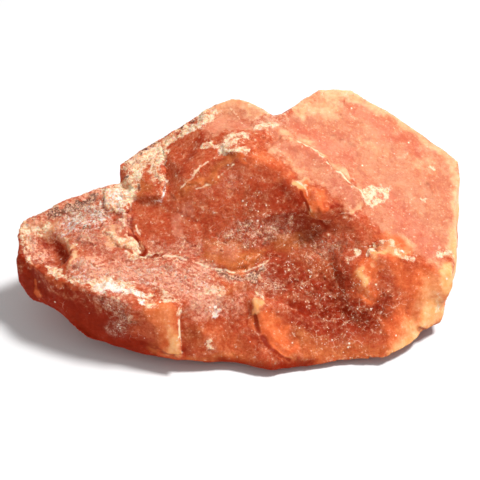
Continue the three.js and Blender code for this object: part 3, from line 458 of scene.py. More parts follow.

# Where a thin layer has broken away and left a step: how high the step stands and how far the layer
# reaches back from it, in millimetres, how strong the painted highlight on its edge is, and its
# line, with the standing layer on the left of the line as it is seen from outside.
STEPS = [
    # The tongue's crust over the thin plate, and the plate over the hollow.
    (0.6, 2.5, 0.4, [(22.5, 16, 14.5), (21.5, 17.5, 15.5), (20.5, 20, 16.5),
                     (20.5, 22.5, 17.5), (20, 25.5, 20)]),
    (0.25, 1.0, 0.0, [(24, 17, 15.5), (23, 18.5, 16), (22.5, 20.5, 16.5), (22, 21.5, 17)]),
    # The crust at the step of the cliff.
    (0.5, 2.0, 0.6, [(26.5, 24.5, 20.5), (26, 26, 22), (26.5, 29.5, 23),
                     (26.5, 32, 23.5), (26, 36, 24.5)]),
    (0.2, 1.5, 0.3, [(20, 26, 20.5), (21.5, 26, 19.5), (23.5, 25, 19.5),
                     (25, 24.5, 20.5), (26.5, 24.5, 20.5)]),
    # The band over the hollow, and the patch over the band.
    (0.2, 1.5, 0.0, [(27.5, 24.5, 21), (30, 24.5, 22.5), (35.5, 25.5, 25),
                     (38, 26.5, 26), (41, 26.5, 27.5)]),
    (0.12, 1.0, 0.0, [(30, 25, 23.5), (31.5, 25.5, 24.5), (33, 26.5, 26.3),
                      (35.5, 28, 27.5), (38.5, 28.5, 29)]),
    # The layer left on the slab.
    (0.35, 3.0, 0.9, [(62.3, 22.5, 21), (62.5, 24, 22.5), (60.7, 25.4, 23.3),
                      (58.6, 26.8, 24.6), (57.5, 28.1, 25)]),
    (0.35, 3.0, 0.9, [(57.5, 28.1, 25), (55.9, 29.7, 25.7), (53.6, 31.5, 26.7), (48.5, 34, 28.5)]),
    # The ledge between the shelf, the plate and the hollow.
    (0.35, 1.2, 0.3, [(10, 11.5, 14.5), (11.5, 11.5, 15), (15.5, 13, 15),
                      (18.5, 14.5, 14.5), (21.5, 15.5, 14.5)]),
    (0.3, 1.2, 0.5, [(21.5, 15.5, 14.5), (24.5, 16, 14.5), (27, 16, 14.5),
                     (30, 15, 14.5), (33, 15, 14)]),
    # The bulge and the flakes of the front.
    (0.3, 1.2, 0.6, [(30, 1.5, 6.5), (30, 2, 7.5), (30, 3, 9.5), (29.5, 3.5, 10.5), (29.5, 4.5, 12)]),
    (0.3, 1.5, 0.0, [(51.5, 12, 9), (49.5, 12, 9.5), (47.5, 12.5, 10),
                     (45.5, 12.5, 10.5), (44, 12, 10), (43, 9, 10.5)]),
    (0.35, 1.0, 0.5, [(60, 16.5, 15), (59, 16, 14), (59.5, 15.5, 13.5),
                      (60.5, 14.5, 13), (60.5, 14, 12.5)]),
    (0.4, 1.2, 0.5, [(66.5, 17.5, 17), (65, 17, 16.5), (64, 16, 16), (63, 16, 15.5)]),
    (0.25, 1.0, 0.2, [(32.5, 11, 13), (34, 10.5, 12.5), (37.5, 10, 12.5),
                      (37.5, 8.5, 12), (35, 8.5, 12), (33, 9, 12.5)]),
    (0.3, 1.2, 0.4, [(26, 9.5, 13), (26.5, 8, 13), (28, 7, 12.5), (29.5, 6.5, 12.5)]),
    # The lobes of crust on the tongue.
    (0.5, 2.0, 0.4, [(15, 21.5, 17.5), (16, 19.5, 17), (17.5, 18.5, 17), (19, 17.5, 16), (20, 16, 15)]),
    (0.15, 1.5, 0.0, [(15.5, 28.5, 19.5), (15.5, 26, 19), (16.5, 24, 18.5),
                      (18.5, 23.5, 18), (19.5, 24, 19)]),
    # Folds of the crest and of the slab.
    (0.3, 1.5, 0.3, [(26, 36, 24.5), (29.5, 36.5, 26.5), (32, 36.5, 28.5),
                     (34.5, 38.5, 29), (37, 41, 30)]),
    (0.2, 1.5, 0.2, [(42, 37, 29.5), (43.5, 34.5, 29.5), (44.5, 32, 29), (44.5, 29, 28.5)]),
    (0.15, 2.5, 0.1, [(57, 37, 26.5), (60, 36.5, 25.5), (62, 35, 24.5),
                      (62.5, 32, 23), (63.5, 29.5, 22)]),
    (0.25, 1.0, 0.3, [(74, 31.5, 19.5), (75, 32.5, 19), (76, 32, 18.5),
                      (76, 29.5, 18), (75, 27.5, 17)]),
    (0.15, 1.5, 0.1, [(78.5, 37.5, 19.5), (76, 35, 19.5), (73.5, 36.5, 21), (70.5, 38, 22.5)]),
]

# Painted shade where the front edge rolls under: brush strokes.
UNDERSIDE_SHADE_STROKES = [
    (1.1, 1.1, [(37, 1.9, 1.8), (41, 1.2, 1.7), (45.4, 0.2, 1.8), (49, 0.9, 1.4), (52.8, 1.8, 1.4)]),
]

# How free of flakes (partly painted glints), painted edge highlights and grain each finish keeps the
# stone; below 0, it brings them.
CLEAN = {
    "deep": 0.9,
    "amber": 1.0,
    "ember": 1.0,
    "glow": 1.0,
    "slab": 0.4,
    "clear": 1.0,
    "specks": -0.7,
}

# Fine lines: half width in millimetres, strength (pale above 0, dark below) and line.
# The dark lines are painted shadow beside standing edges; some pale ones are painted highlights on lit
# edges.
PALE_AND_SHADOW_LINES = [
    (0.2, 0.95, [(29.5, 24.7, 22.7), (31.5, 25.5, 24.5), (33, 26.5, 26.5),
                 (35.5, 28, 27.6), (38.5, 28.6, 29)]),
    (0.2, 0.75, [(30.4, 23.9, 21.7), (34, 24.7, 23.7), (37.6, 26.1, 25.6), (41.2, 26.7, 27.8)]),
    (0.2, 0.9, [(19.8, 23.6, 18.5), (20.6, 22.5, 18), (21.7, 21.4, 17),
                (22.5, 19.9, 16.3), (24.4, 16.2, 14.4)]),
    (0.25, 0.95, [(22, 15.6, 14.4), (24.5, 15.7, 14.5), (27.1, 15.6, 14.6),
                  (29.5, 15.3, 14.7), (31.6, 14.9, 14.3)]),
    (0.22, 0.95, [(31.6, 14.9, 14.3), (33.9, 14.1, 13.6), (35.4, 13.6, 13.3),
                  (37.5, 13.5, 13.2), (40, 13.6, 12.9)]),
    (0.22, 0.88, [(40, 13.6, 12.9), (41.9, 14, 12.8), (43.5, 15, 12.8),
                  (45, 16.2, 12.8), (47.4, 18, 13.2)]),
    (0.2, 0.7, [(48.9, 6.3, 6), (49.6, 5.6, 5), (50.2, 5.1, 4.2)]),
    (0.45, -0.95, [(43.2, 7.7, 8.4), (43.2, 7.1, 7.4), (43.3, 6.5, 6.8),
                   (43.5, 5.8, 6.2), (44, 4.9, 5.6)]),
    (0.5, -0.95, [(44, 4.9, 5.6), (45.4, 3.3, 4.5), (46.3, 2.7, 3.8),
                  (47.4, 2.4, 3.1), (48.4, 2.2, 2.7)]),
    (0.4, -0.9, [(47.4, 2.4, 3.1), (48.4, 2.2, 2.7), (49.8, 1.8, 2.1)]),
    (0.3, -1.1, [(51.2, 23.6, 23.8), (51.8, 22.3, 22.9), (52.5, 21, 22.1), (53, 20.2, 21.2)]),
    (0.2, -0.8, [(26.5, 34.1, 24.8), (26.7, 31.2, 23.5), (26.9, 27.5, 22.6), (26.8, 25.4, 21.6)]),
    (0.3, -1.0, [(20.6, 21.9, 17.4), (21.2, 20.4, 16.5), (22, 18.6, 15.7), (23, 16.7, 14.8)]),
    (0.2, 1.0, [(50.3, 25, 25), (51.2, 24.6, 24.6), (52.1, 24, 24.4), (53.5, 23.6, 24.3)]),
    (0.2, 0.8, [(38, 40.5, 30), (39, 40, 30), (40, 38.5, 29.7), (41, 36, 29.6), (41.5, 33, 29.8)]),
    (0.2, 0.8, [(51.9, 24.2, 24.4), (52.4, 22.9, 23.7), (53.2, 21.2, 22.7)]),
    (0.2, 0.66, [(55.2, 20.5, 19), (57.1, 20.3, 20.2), (59.2, 20.6, 20.9), (61.2, 21.1, 20.8)]),
    (0.27, 1.0, [(57.5, 28.1, 25), (58.5, 26.8, 24.7), (60.7, 25.4, 23.3),
                 (62.4, 24.1, 22.6), (62.6, 23.1, 21.6)]),
    (0.27, 0.9, [(50.5, 33.2, 28), (53.6, 31.5, 26.7), (55.9, 29.7, 25.7), (57.5, 28.1, 25)]),
    (0.3, 1.1, BULGE_EDGE),
    (0.2, 0.8, [(13, 12, 15), (15.5, 12.7, 15), (18.3, 14.3, 14.4), (21.3, 15.2, 14.1)]),
]

# Creases between lobes: depth and half width in millimetres, and the line.
CREASES = [
    (0.12, 0.5, [(12.9, 20.9, 17.1), (13.4, 20.4, 17)]),
]

# Where the surface swells or sinks: the brush's radius, how far it is raised, and the places.
SWELLS = [
    (1.8, -0.8, [(46.3, 6, 7.3), (47.8, 5, 5.9), (49.3, 4, 4.6)]),
    (1.8, 0.6, [(42, 5.6, 6), (43.5, 4, 4.4), (45.3, 2.6, 3.2)]),
    (2.0, -0.9, [(5.5, 19.5, 14), (7, 17.8, 13.5), (8, 16, 13.3)]),
    (1.6, 0.7, [(54.5, 20.8, 19.6), (58, 20.3, 19.3), (61, 20.8, 19)]),
    (2.5, 0.7, [(0.8, 17.5, 11.5), (1.5, 15.5, 10), (3, 13.5, 9)]),
    (1.2, 0.2, [(63.5, 24.5, 20.8), (65, 26.5, 20.7), (66.5, 26, 19.8)]),
    (2.6, 1.3, [(60, 14, 12.6), (60.2, 13, 11), (61, 11.8, 9.4), (62, 10.6, 8.2)]),
    (1.2, -0.4, [(64, 13.6, 14.3), (63.8, 12.6, 13.2)]),
    (1.3, 0.6, [(49, 25, 24.3), (50.4, 23.9, 23.1), (51.7, 22, 21.9), (52.7, 20.7, 20.9)]),
]

# Where the hard rims of the flakes are worn soft: the brush's radius, its strength and the places.
WORN = [
    (2.4, 1.0, [(43.5, 8.5, 10.5), (43.5, 7, 8.5), (45.5, 4.5, 5.5), (49, 2.5, 2.5)]),
    (1.6, 1.0, [(47.5, 26, 26), (49.5, 25, 24.5), (51, 24, 23.5),
                (52.3, 22, 22.3), (53.4, 20.6, 21.3)]),
    (2.0, 1.0, [(42, 7.5, 7.8), (43.2, 5.8, 5.8), (45, 4, 3.8)]),
    (3.0, 1.0, [(67, 14, 14), (69, 12, 11), (67, 9.5, 8)]),
    (1.8, 1.0, [(61, 13.5, 13.5), (61, 12.3, 10.5), (62.5, 11, 8.6), (64.5, 10, 8)]),
    (1.5, 0.7, [(25, 4.5, 11.8), (29, 4, 11.8)]),
    (1.5, 1.0, [(24, 4.5, 11), (24.5, 3.5, 8), (26, 2.5, 5)]),
    (1.4, 1.0, [(33, 14.8, 13.6), (36, 13.6, 13), (39, 12.8, 12.6), (42, 13.2, 12.7), (45, 15.6, 13)]),
    (1.2, 0.8, [(33, 15.5, 14.5), (35, 18, 15.8)]),
    (1.2, 0.8, [(45.5, 17.5, 14.5), (46.5, 19.5, 16)]),
    (2.2, 1.0, [(76.5, 16.5, 12.7), (77, 14.5, 11.7), (76.3, 12.5, 9), (75, 12, 6.5)]),
    (1.8, 0.9, [(5.5, 20.5, 14.5), (7.5, 18.5, 13.8), (9, 15.5, 13.8), (9.5, 13.5, 14.3)]),
    (1.5, 1.0, [(51, 37.9, 29), (52.5, 38.1, 28.7), (55.4, 39, 28.1),
                (58.5, 41.3, 27.9), (59.3, 42.1, 28.5)]),
    (1.2, 1.0, [(57.4, 21, 21.9), (59.2, 20.8, 21.4), (61.1, 21.7, 21.1), (62.4, 22.6, 21.1)]),
    (1.6, 0.9, [(28, 24.3, 21.3), (32, 24.8, 23), (36, 25.3, 25), (40, 26.3, 27)]),
]

# Folds that are smoothed again once the relief is in.
SOFTENED = [
    (2.0, 1.0, [(61, 13, 13.4), (61.5, 12, 12), (62, 11, 10.5), (63, 10, 9)]),
    (1.2, 0.9, [(42.6, 8.6, 9.4), (43, 7.4, 8), (43.2, 6.4, 7)]),
    (1.5, 0.9, [(74.8, 13.1, 10.5), (75.6, 12.5, 9.4), (76, 12.1, 8.3), (74.3, 12, 7.5)]),
    (1.0, 1.0, [(12.5, 12.8, 15.6), (14.8, 13.2, 15.4), (16.5, 13.8, 15),
                (18.3, 14.3, 14.5), (21.3, 15.2, 14.2)]),
    (1.5, 1.0, [(73, 10.2, 5.6), (72.6, 9.9, 5), (72.1, 9.8, 4.6)]),
    (1.2, 1.0, [(22, 25.4, 19.4), (23.1, 24.9, 19.4), (25.3, 24.3, 19.7), (26.3, 24.5, 20.3)]),
]


def millimetres(*place):
    """A place on the stone, from millimetres to metres in the frame."""
    return LOW + np.array(place, float) * MM


def smooth(value, low, high):
    """A soft step from 0 at low to 1 at high."""
    t = np.clip((value - low) / (high - low), 0.0, 1.0)
    return t * t * (3.0 - 2.0 * t)


def wavering(points, size, seed, octaves):
    """Fractal noise at each point, about -1 to 1, whose waves are size long."""
    shift = Vector((seed * 7.3, seed * 3.1, seed * 5.7))
    return np.array(
        [noise.fractal(Vector(p) + shift, 1.0, 2.0, octaves) for p in points / size], float
    )


def drifting(points, size, seed):
    """A noise vector at each point, whose waves are size long."""
    shift = Vector((seed * 4.9, seed * 8.3, seed * 2.7))
    return np.array([noise.noise_vector(Vector(p) + shift) for p in points / size], float)


def cells(points, size):
    """The distance from each point to the nearest seed of a loose lattice, in cell sizes."""
    return np.array([noise.voronoi(Vector(p))[0][0] for p in points / size], float)


def chipped(points, size, seed):
    """The height at each point of small flat breaks, each tilted its own way, in cell sizes."""
    shift = Vector((seed * 3.7, seed * 6.1, seed * 9.1))
    half = Vector((0.5, 0.5, 0.5))
    heights = []
    for p in points / size:
        place = Vector(p) + shift
        seat = noise.voronoi(place)[1][0]
        tilt = noise.cell_vector(seat * 9.0) - half
        heights.append((place - seat).dot(tilt) + 0.25 * tilt.x)
    return np.array(heights, float)


def ragged(points, amount=1.0):
    """Each point pushed a little to and fro, so that lines and brush strokes run unevenly."""
    slow = 1.5 * drifting(points, 3.5 * MM, seed=1)
    quick = 0.8 * drifting(points, 1.2 * MM, seed=6)
    return points + amount * (slow + quick) * MM


def nearest_on_line(points, line):
    """For each point: its distance from a line of places, the closest place, the line's direction
    there, and how far that place is from the line's nearer end."""
    stops = [millimetres(*p) for p in line]
    lengths = [np.linalg.norm(b - a) for a, b in zip(stops, stops[1:])]
    best = np.full(len(points), np.inf)
    place = np.zeros_like(points)
    along = np.zeros_like(points)
    run = np.zeros(len(points))
    before = 0.0
    for start, end, length in zip(stops, stops[1:], lengths):
        way = (end - start) / length
        t = np.clip((points - start) @ way, 0.0, length)
        foot = start + t[:, None] * way
        gap = np.linalg.norm(points - foot, axis=1)
        closer = gap < best
        best[closer] = gap[closer]
        place[closer] = foot[closer]
        along[closer] = way
        run[closer] = before + t[closer]
        before += length
    return best, place, along, np.minimum(run, before - run)


def brushed(points, strokes):
    """How strongly brush strokes cover each point. The edges of a stroke fade out."""
    cover = np.zeros(len(points))
    for radius, strength, line in strokes:
        gap = nearest_on_line(points, line)[0] / (radius * MM)
        cover = np.maximum(cover, strength * (1.0 - smooth(gap, *BRUSH_FADE)))
    return cover


def read_mesh(mesh):
    """The mesh's points and its outward directions at them."""
    points = np.empty(len(mesh.vertices) * 3)
    mesh.vertices.foreach_get("co", points)
    outward = np.empty(len(mesh.vertices) * 3)
    mesh.vertex_normals.foreach_get("vector", outward)
    return points.reshape(-1, 3), outward.reshape(-1, 3)


def only(piece):
    """Selects one piece and makes it active."""
    bpy.ops.object.select_all(action="DESELECT")
    piece.select_set(True)
    bpy.context.view_layer.objects.active = piece


def apply_modifier(piece, kind, **settings):
    """Adds a modifier to a piece and applies it."""
    only(piece)
    bpy.ops.object.modifier_add(type=kind)
    modifier = piece.modifiers[-1]
    for name, value in settings.items():
        setattr(modifier, name, value)
    bpy.ops.object.modifier_apply(modifier=modifier.name)


def rough_out(shape):
    """The stone's own copy of the solid: merged, rounded between sharp edges and remeshed evenly."""
    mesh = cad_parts[STONE].data.copy()
    mesh.materials.clear()
    stone = bpy.data.objects.new("stone_finish", mesh)
    bpy.context.scene.collection.objects.link(stone)
    only(stone)
    bpy.ops.object.mode_set(mode="EDIT")
    bpy.ops.mesh.select_mode(type="VERT")
    bpy.ops.mesh.select_all(action="SELECT")
    bpy.ops.mesh.remove_doubles(threshold=MERGE_WITHIN)
    bpy.ops.mesh.select_all(action="DESELECT")
    bpy.ops.mesh.select_mode(type="EDGE")
    bpy.ops.mesh.edges_select_sharp(sharpness=shape.crease_angle)
    bpy.ops.transform.edge_crease(value=shape.crease)
    bpy.ops.object.mode_set(mode="OBJECT")
    apply_modifier(stone, "SUBSURF", levels=2, render_levels=2)
    apply_modifier(stone, "REMESH", mode="VOXEL", voxel_size=shape.fineness)
    return stone


def wear(stone, strokes, passes):
    """Softens the stone's surface under these brush strokes."""
    points, _ = read_mesh(stone.data)
    cover = brushed(points, strokes)
    group = stone.vertex_groups.new(name="worn")
    for index in np.nonzero(cover > LEAST_WEAR)[0]:
        group.add([int(index)], float(cover[index]), "REPLACE")
    apply_modifier(stone, "SMOOTH", factor=0.5, iterations=passes, vertex_group=group.name)
    stone.vertex_groups.clear()


def relief(points, outward, shape):
    """How far each point of the stone is moved outward: its chips, layers, crust and grain."""
    bent = ragged(points)
    crust = brushed(bent, BRUSHWORK["crust"])
    slab = brushed(bent, BRUSHWORK["slab"])
    rose = brushed(bent, BRUSHWORK["rose"])
    specks = brushed(bent, BRUSHWORK["specks"])
    rough = np.clip(0.12 + 0.6 * crust + 0.5 * rose + 0.4 * specks, 0.0, 1.0) * (1.0 - 0.7 * slab)

    height = shape.wave_height * wavering(points, WAVE_SIZE, seed=3, octaves=2) * (1.0 - 0.6 * slab)
    height += shape.lump_height * wavering(points, LUMP_SIZE, seed=4, octaves=4) * (0.25 + rough)
    height += shape.chip_height * chipped(bent, CHIP_SIZE, seed=1) * (0.15 + 0.85 * rough)
    height += 0.5 * shape.chip_height * chipped(bent, SMALL_CHIP_SIZE, seed=2) * rough
    height += shape.grain_height * (0.4 - cells(bent, GRAIN_SIZE)) * crust

    for radius, raised, line in SWELLS:
        height += raised * MM * brushed(points, [(radius, 1.0, line)])
    for rise, reach, _, line in STEPS:
        gap, place, along, run = nearest_on_line(bent, line)
        left = np.cross(outward, along)
        side = np.einsum("ij,ij->i", bent - place, left)
        standing = smooth(side, -0.2 * MM, 0.2 * MM) * smooth(run, 0.0, STEP_FADE)
        height += rise * MM * standing * (1.0 - smooth(gap, 0.2 * reach * MM, reach * MM))
    for depth, width, line in CREASES:
        gap, _, _, run = nearest_on_line(bent, line)
        height -= depth * MM * np.exp(-((gap / (width * MM)) ** 2)) * smooth(run, 0.0, 1.5 * MM)
    return height


def sculpt(stone, shape):
    """Moves the stone's surface by its relief, and keeps the rest face flat."""
    mesh = stone.data
    points, outward = read_mesh(mesh)
    height = relief(points, outward, shape)
    above = smooth(points[:, 2] - LOW[2], 0.2 * MM, 1.5 * MM)
    points = points + outward * (height * above)[:, None]
    points[:, 2] = np.maximum(points[:, 2], LOW[2])
    mesh.vertices.foreach_set("co", points.ravel())
    mesh.update()


def thin_out(stone, shape):
    """Joins the smallest triangles where the surface is even."""
    apply_modifier(stone, "TRIANGULATE")
    share = shape.triangles / len(stone.data.polygons)
    if share < 1.0:
        apply_modifier(stone, "DECIMATE", decimate_type="COLLAPSE", ratio=share)


def bulging(mesh, points, outward, passes):
    """How far each point stands out from the points round it, smoothed by some passes."""
    edges = np.empty(len(mesh.edges) * 2, int)
    mesh.edges.foreach_get("vertices", edges)
    a, b = edges.reshape(-1, 2).T
    count = np.bincount(a, minlength=len(points)) + np.bincount(b, minlength=len(points))
    mean = points
    for _ in range(passes):
        total = np.zeros_like(points)
        np.add.at(total, a, mean[b])
        np.add.at(total, b, mean[a])
        mean = 0.5 * mean + 0.5 * total / count[:, None]
    return np.einsum("ij,ij->i", points - mean, outward)


def store(mesh, name, values):
    """Keeps one number for each point on the mesh, for the material to read."""
    layer = mesh.attributes.new(name, "FLOAT", "POINT")
    layer.data.foreach_set("value", np.asarray(values, np.float32))


def step_edge_highlights(points):
    """How strongly the painted highlight on a layer's standing edge covers each point."""
    pale = np.zeros(len(points))
    for _, _, highlight_strength, line in STEPS:
        if highlight_strength:
            gap, _, _, run = nearest_on_line(points, line)
            edge = np.exp(-((gap / STEP_EDGE) ** 2)) * smooth(run, 0.0, STEP_FADE)
            pale = np.maximum(pale, highlight_strength * edge)
    return pale


def fine_lines(points):
    """The fine lines at each point: pale lines and painted highlights above 0, painted shadow lines
    below.
    """
    veins = np.zeros(len(points))
    for width, strength, line in PALE_AND_SHADOW_LINES:
        gap, _, _, run = nearest_on_line(points, line)
        vein = strength * np.maximum(1.0 - 0.5 * gap / (width * MM), 0.0)
        vein = vein * smooth(run, -0.5 * MM, 0.6 * MM)
        veins = np.where(np.abs(vein) > np.abs(veins), vein, veins)
    return veins


def underside_shade(points, outward):
    """Painted shade: how far each point belongs to the foot, or to a face near it that looks down."""
    height = points[:, 2] - LOW[2]
    turned = smooth(-outward[:, 2], -0.05, 0.35) * (1.0 - smooth(height, 4.0 * MM, 9.0 * MM))
    turned = np.maximum(turned, brushed(points, UNDERSIDE_SHADE_STROKES))
    return np.maximum(1.0 - smooth(height, 0.3 * MM, 1.8 * MM), turned)


def paint(stone):
    """Writes where each finish lies on the stone, where its surface stands out or sinks in, and its
    painted highlights and shade.
    """
    mesh = stone.data
    points, outward = read_mesh(mesh)
    bent = ragged(points)
    facing_up = smooth(outward[:, 2], 0.1, 0.5)
    for finish, strokes in BRUSHWORK.items():
        cover = brushed(bent, strokes)
        # Painted light: these finishes are fainter where the face looks down into shade.
        if finish in FAINTER_ON_SHADED_FACES:
            cover = cover * (0.5 + 0.5 * facing_up)
        store(mesh, finish, cover)
    # Painted highlight along the standing edges of the layers, on faces that look up to the light.
    store(mesh, "edge", step_edge_highlights(bent) * facing_up)
    # Pale lines, partly painted highlights, and painted shadow lines.
    store(mesh, "vein", fine_lines(ragged(points, 0.3)))
    # Painted shade on the foot and on faces near it that look down.
    store(mesh, "under", underside_shade(points, outward))
    store(mesh, "bulge", bulging(mesh, points, outward, 6) / MM)


class Wiring:
    """Short calls that add and join a material's nodes."""

    def __init__(self, material):
        material.use_nodes = True
        self.tree = material.node_tree
        self.tree.nodes.clear()
        self.place = self.node("ShaderNodeTexCoord").outputs["Object"]
        self.numbers = {}

    def node(self, kind, inputs=None, **settings):
        """Adds a node with these settings. An input is a number, a colour or a node's output."""
        node = self.tree.nodes.new(kind)
        for name, value in settings.items():
            setattr(node, name, value)
        for name, value in (inputs or {}).items():
            if isinstance(value, bpy.types.NodeSocket):
                self.tree.links.new(value, node.inputs[name])
            else:
                node.inputs[name].default_value = value
        return node

    def painted(self, name):
        """A number that the mesh keeps for each of its points."""
        if name not in self.numbers:
            node = self.node("ShaderNodeAttribute", attribute_name=name)
            self.numbers[name] = node.outputs["Fac"]
        return self.numbers[name]

    def shifted(self, by):
        """The place on the stone, moved along all three ways, for a texture of its own."""
        node = self.node("ShaderNodeMapping", {"Vector": self.place, "Location": (by, by, by)})
        return node.outputs["Vector"]

    def noise(self, size, detail, roughness=0.6, place=None):
        """Noise from 0 to 1 whose waves are size metres long."""
        return self.node(
            "ShaderNodeTexNoise",
            {
                "Vector": place or self.place,
                "Scale": 1.0 / size,
                "Detail": detail,
                "Roughness": roughness,
            },
        ).outputs["Fac"]

    def cells(self, size, feature="F1", place=None):
        """A texture of cells that are size metres across."""
        return self.node(
            "ShaderNodeTexVoronoi",
            {"Vector": place or self.place, "Scale": 1.0 / size},
            feature=feature,
        ).outputs

    def math(self, operation, first, second=0.0, third=0.0):
        """Sums with numbers."""
        node = self.node("ShaderNodeMath", {0: first, 1: second, 2: third}, operation=operation)
        return node.outputs["Value"]

    def times(self, first, second):
        """One number times another."""
        return self.math("MULTIPLY", first, second)

    def total(self, *parts):
        """The sum of values, each times its own number."""
        value = 0.0
        for part, share in parts:
            value = self.math("MULTIPLY_ADD", part, share, value)
        return value

    def vector(self, operation, first, second, output="Vector"):
        """Sums with places and colours."""
        node = self.node("ShaderNodeVectorMath", {0: first, 1: second}, operation=operation)
        return node.outputs[output]

    def facets(self, cells):
        """How high each cell's own tilted face stands at each place."""
        tilt = self.vector("SUBTRACT", cells["Color"], (0.5, 0.5, 0.5))
        away = self.vector("SUBTRACT", self.place, cells["Position"])
        return self.vector("DOT_PRODUCT", away, tilt, "Value")

    def ramp(self, value, low, high, start=0.0, end=1.0):
        """A soft step from start, where value is low, to end, where it is high."""
        node = self.node(
            "ShaderNodeMapRange",
            {"Value": value, "From Min": low, "From Max": high, "To Min": start, "To Max": end},
            interpolation_type="SMOOTHSTEP",
        )
        return node.outputs["Result"]

    def broken(self, painted, texture, spread, soft):
        """A painted finish with its edge broken up by a texture."""
        pushed = self.math("MULTIPLY_ADD", self.math("SUBTRACT", texture, 0.5), spread, painted)
        return self.ramp(pushed, 0.5 - soft, 0.5 + soft)

    def mix(self, factor, under, over):
        """One colour over another, as fully as factor says."""
        node = self.node("ShaderNodeMix", data_type="RGBA")
        for index, value in ((0, factor), (6, under), (7, over)):
            if isinstance(value, bpy.types.NodeSocket):
                self.tree.links.new(value, node.inputs[index])
            elif index == 0:
                node.inputs[index].default_value = value
            else:
                node.inputs[index].default_value = (*value, 1.0)
        return node.outputs[2]


class Grain:
    """The textures that break up the stone's finishes, and how clean of them each place is."""

    def __init__(self, w):
        self.patchy = w.noise(2.2 * MM, 4.0, 0.65)
        self.patches = w.noise(1.6 * MM, 4.0, 0.65, w.shifted(0.05))
        self.fine = w.noise(0.7 * MM, 4.0, 0.7)
        self.sugar = w.noise(0.34 * MM, 3.0, 0.75)
        self.cells = w.cells(0.36 * MM)
        broad = w.noise(7.0 * MM, 2.0)
        single = w.node("ShaderNodeSeparateColor", {"Color": self.cells["Color"]}).outputs[0]

        # What breaks up the edges of the finishes.
        self.ragged_edge = w.total((self.patches, 0.6), (self.fine, 0.4))
        self.grainy_edge = w.total((self.fine, 0.5), (self.sugar, 0.3), (self.patches, 0.2))

        # How a finish runs from its dark colour to its light one.
        self.soft = w.total((self.patchy, 0.6), (self.fine, 0.4))
        coarse = w.total((self.patchy, 0.3), (self.fine, 0.45), (single, 0.25))
        cloudy = w.total((broad, 0.25), (self.patchy, 0.35), (self.fine, 0.2), (self.sugar, 0.2))
        sugary = w.total((self.patches, 0.25), (self.fine, 0.4), (self.sugar, 0.35))
        salty = w.total((self.sugar, 0.5), (self.fine, 0.3), (single, 0.2))
        self.tones = {
            "grainy": w.ramp(coarse, 0.34, 0.66),
            "soft": w.ramp(self.soft, 0.36, 0.64),
            "cloudy": w.ramp(cloudy, 0.39, 0.61),
            "sugary": w.ramp(sugary, 0.41, 0.56),
            "salty": w.ramp(salty, 0.48, 0.60),
        }

        self.clean = w.total(*((w.painted(name), share) for name, share in CLEAN.items()))
        self.unclean = w.ramp(self.clean, 0.2, 0.9, 1.0, 0.03)


def finishes(w, grain, colours):
    """The stone's finishes, each lying over those before it."""

    def finish(name, tone):
        """A finish's two colours, mingled by one of the tones."""
        dark, light = (getattr(colours, name + shade) for shade in ("_dark", "_light"))
        return w.mix(grain.tones[tone], dark, light)

    # For each: its tone, what breaks up its edge, how widely the edge is spread and how soft it is.
    # On the clear faces a finish stays within its own brush strokes.
    colour = finish("brick", "grainy")
    unclear = w.math("SUBTRACT", 1.0, w.painted("clear"))
    for name, tone, edge, spread, soft in (
        ("deep", "soft", grain.ragged_edge, 1.2, 0.5),
        ("slab", "cloudy", grain.ragged_edge, 1.4, 0.3),
        ("flush", "cloudy", grain.ragged_edge, 1.8, 0.6),
        ("cream", "soft", grain.ragged_edge, 1.8, 0.6),
        ("amber", "soft", grain.ragged_edge, 0.9, 0.6),
        ("ember", "soft", grain.ragged_edge, 0.9, 0.6),
        ("glow", "soft", grain.ragged_edge, 0.9, 0.6),
        ("rose", "grainy", grain.grainy_edge, 1.8, 0.5),
        ("crust", "sugary", grain.grainy_edge, 2.8, 0.4),
        ("mineral", "salty", grain.grainy_edge, 3.0, 0.35),
        ("white", "sugary", grain.grainy_edge, 3.0, 0.3),
    ):
        painted = w.painted(name)
        allowed = w.ramp(w.math("MAXIMUM", painted, unclear), 0.0, 0.3)
        cover = w.times(w.broken(painted, edge, spread, soft), allowed)
        colour = w.mix(cover, colour, finish(name, tone))
    return colour


def dusted(w, grain, colours, colour):
    """Dust, a thin veil with brighter grains in it, and smears of the finest of it."""
    powder = w.total((w.noise(0.22 * MM, 2.0, 0.6, w.shifted(0.07)), 0.6), (grain.fine, 0.4))
    veil = w.times(w.painted("dust"), w.ramp(grain.patches, 0.36, 0.6, 0.25, 1.0))
    grains = w.times(veil, w.ramp(powder, 0.44, 0.62))
    haze = w.times(w.painted("haze"), w.ramp(grain.soft, 0.3, 0.7, 0.15, 0.5))
    colour = w.mix(w.times(veil, COVER["veil"]), colour, colours.dust_dark)
    colour = w.mix(haze, colour, colours.dust_dark)
    return w.mix(w.times(grains, COVER["grains"]), colour, colours.dust_light)


def edge_highlights_and_crease_shade(w, grain, colours, colour):
    """Painted highlight on standing edges, pale in places, and painted shade in the creases."""
    bulge = w.painted("bulge")
    # Painted highlight where the surface stands out.
    pale = w.times(w.ramp(bulge, 0.02, 0.12), w.ramp(grain.grainy_edge, 0.45, 0.62, 0.0, 0.6))
    pale = w.times(w.times(pale, grain.unclean), w.ramp(w.painted("slab"), 0.3, 0.8, 1.0, 0.2))
    colour = w.mix(pale, colour, colours.crust_light)
    # Painted shade in the creases, weaker in the crust.
    crusted = w.total((w.painted("crust"), 1.0), (w.painted("rose"), 0.7))
    crease_shade = w.times(w.ramp(bulge, -0.02, -0.14, 0.0, 0.55), w.ramp(crusted, 0.2, 0.8, 1.0, 0.35))
    return w.mix(crease_shade, colour, colours.deep_dark)


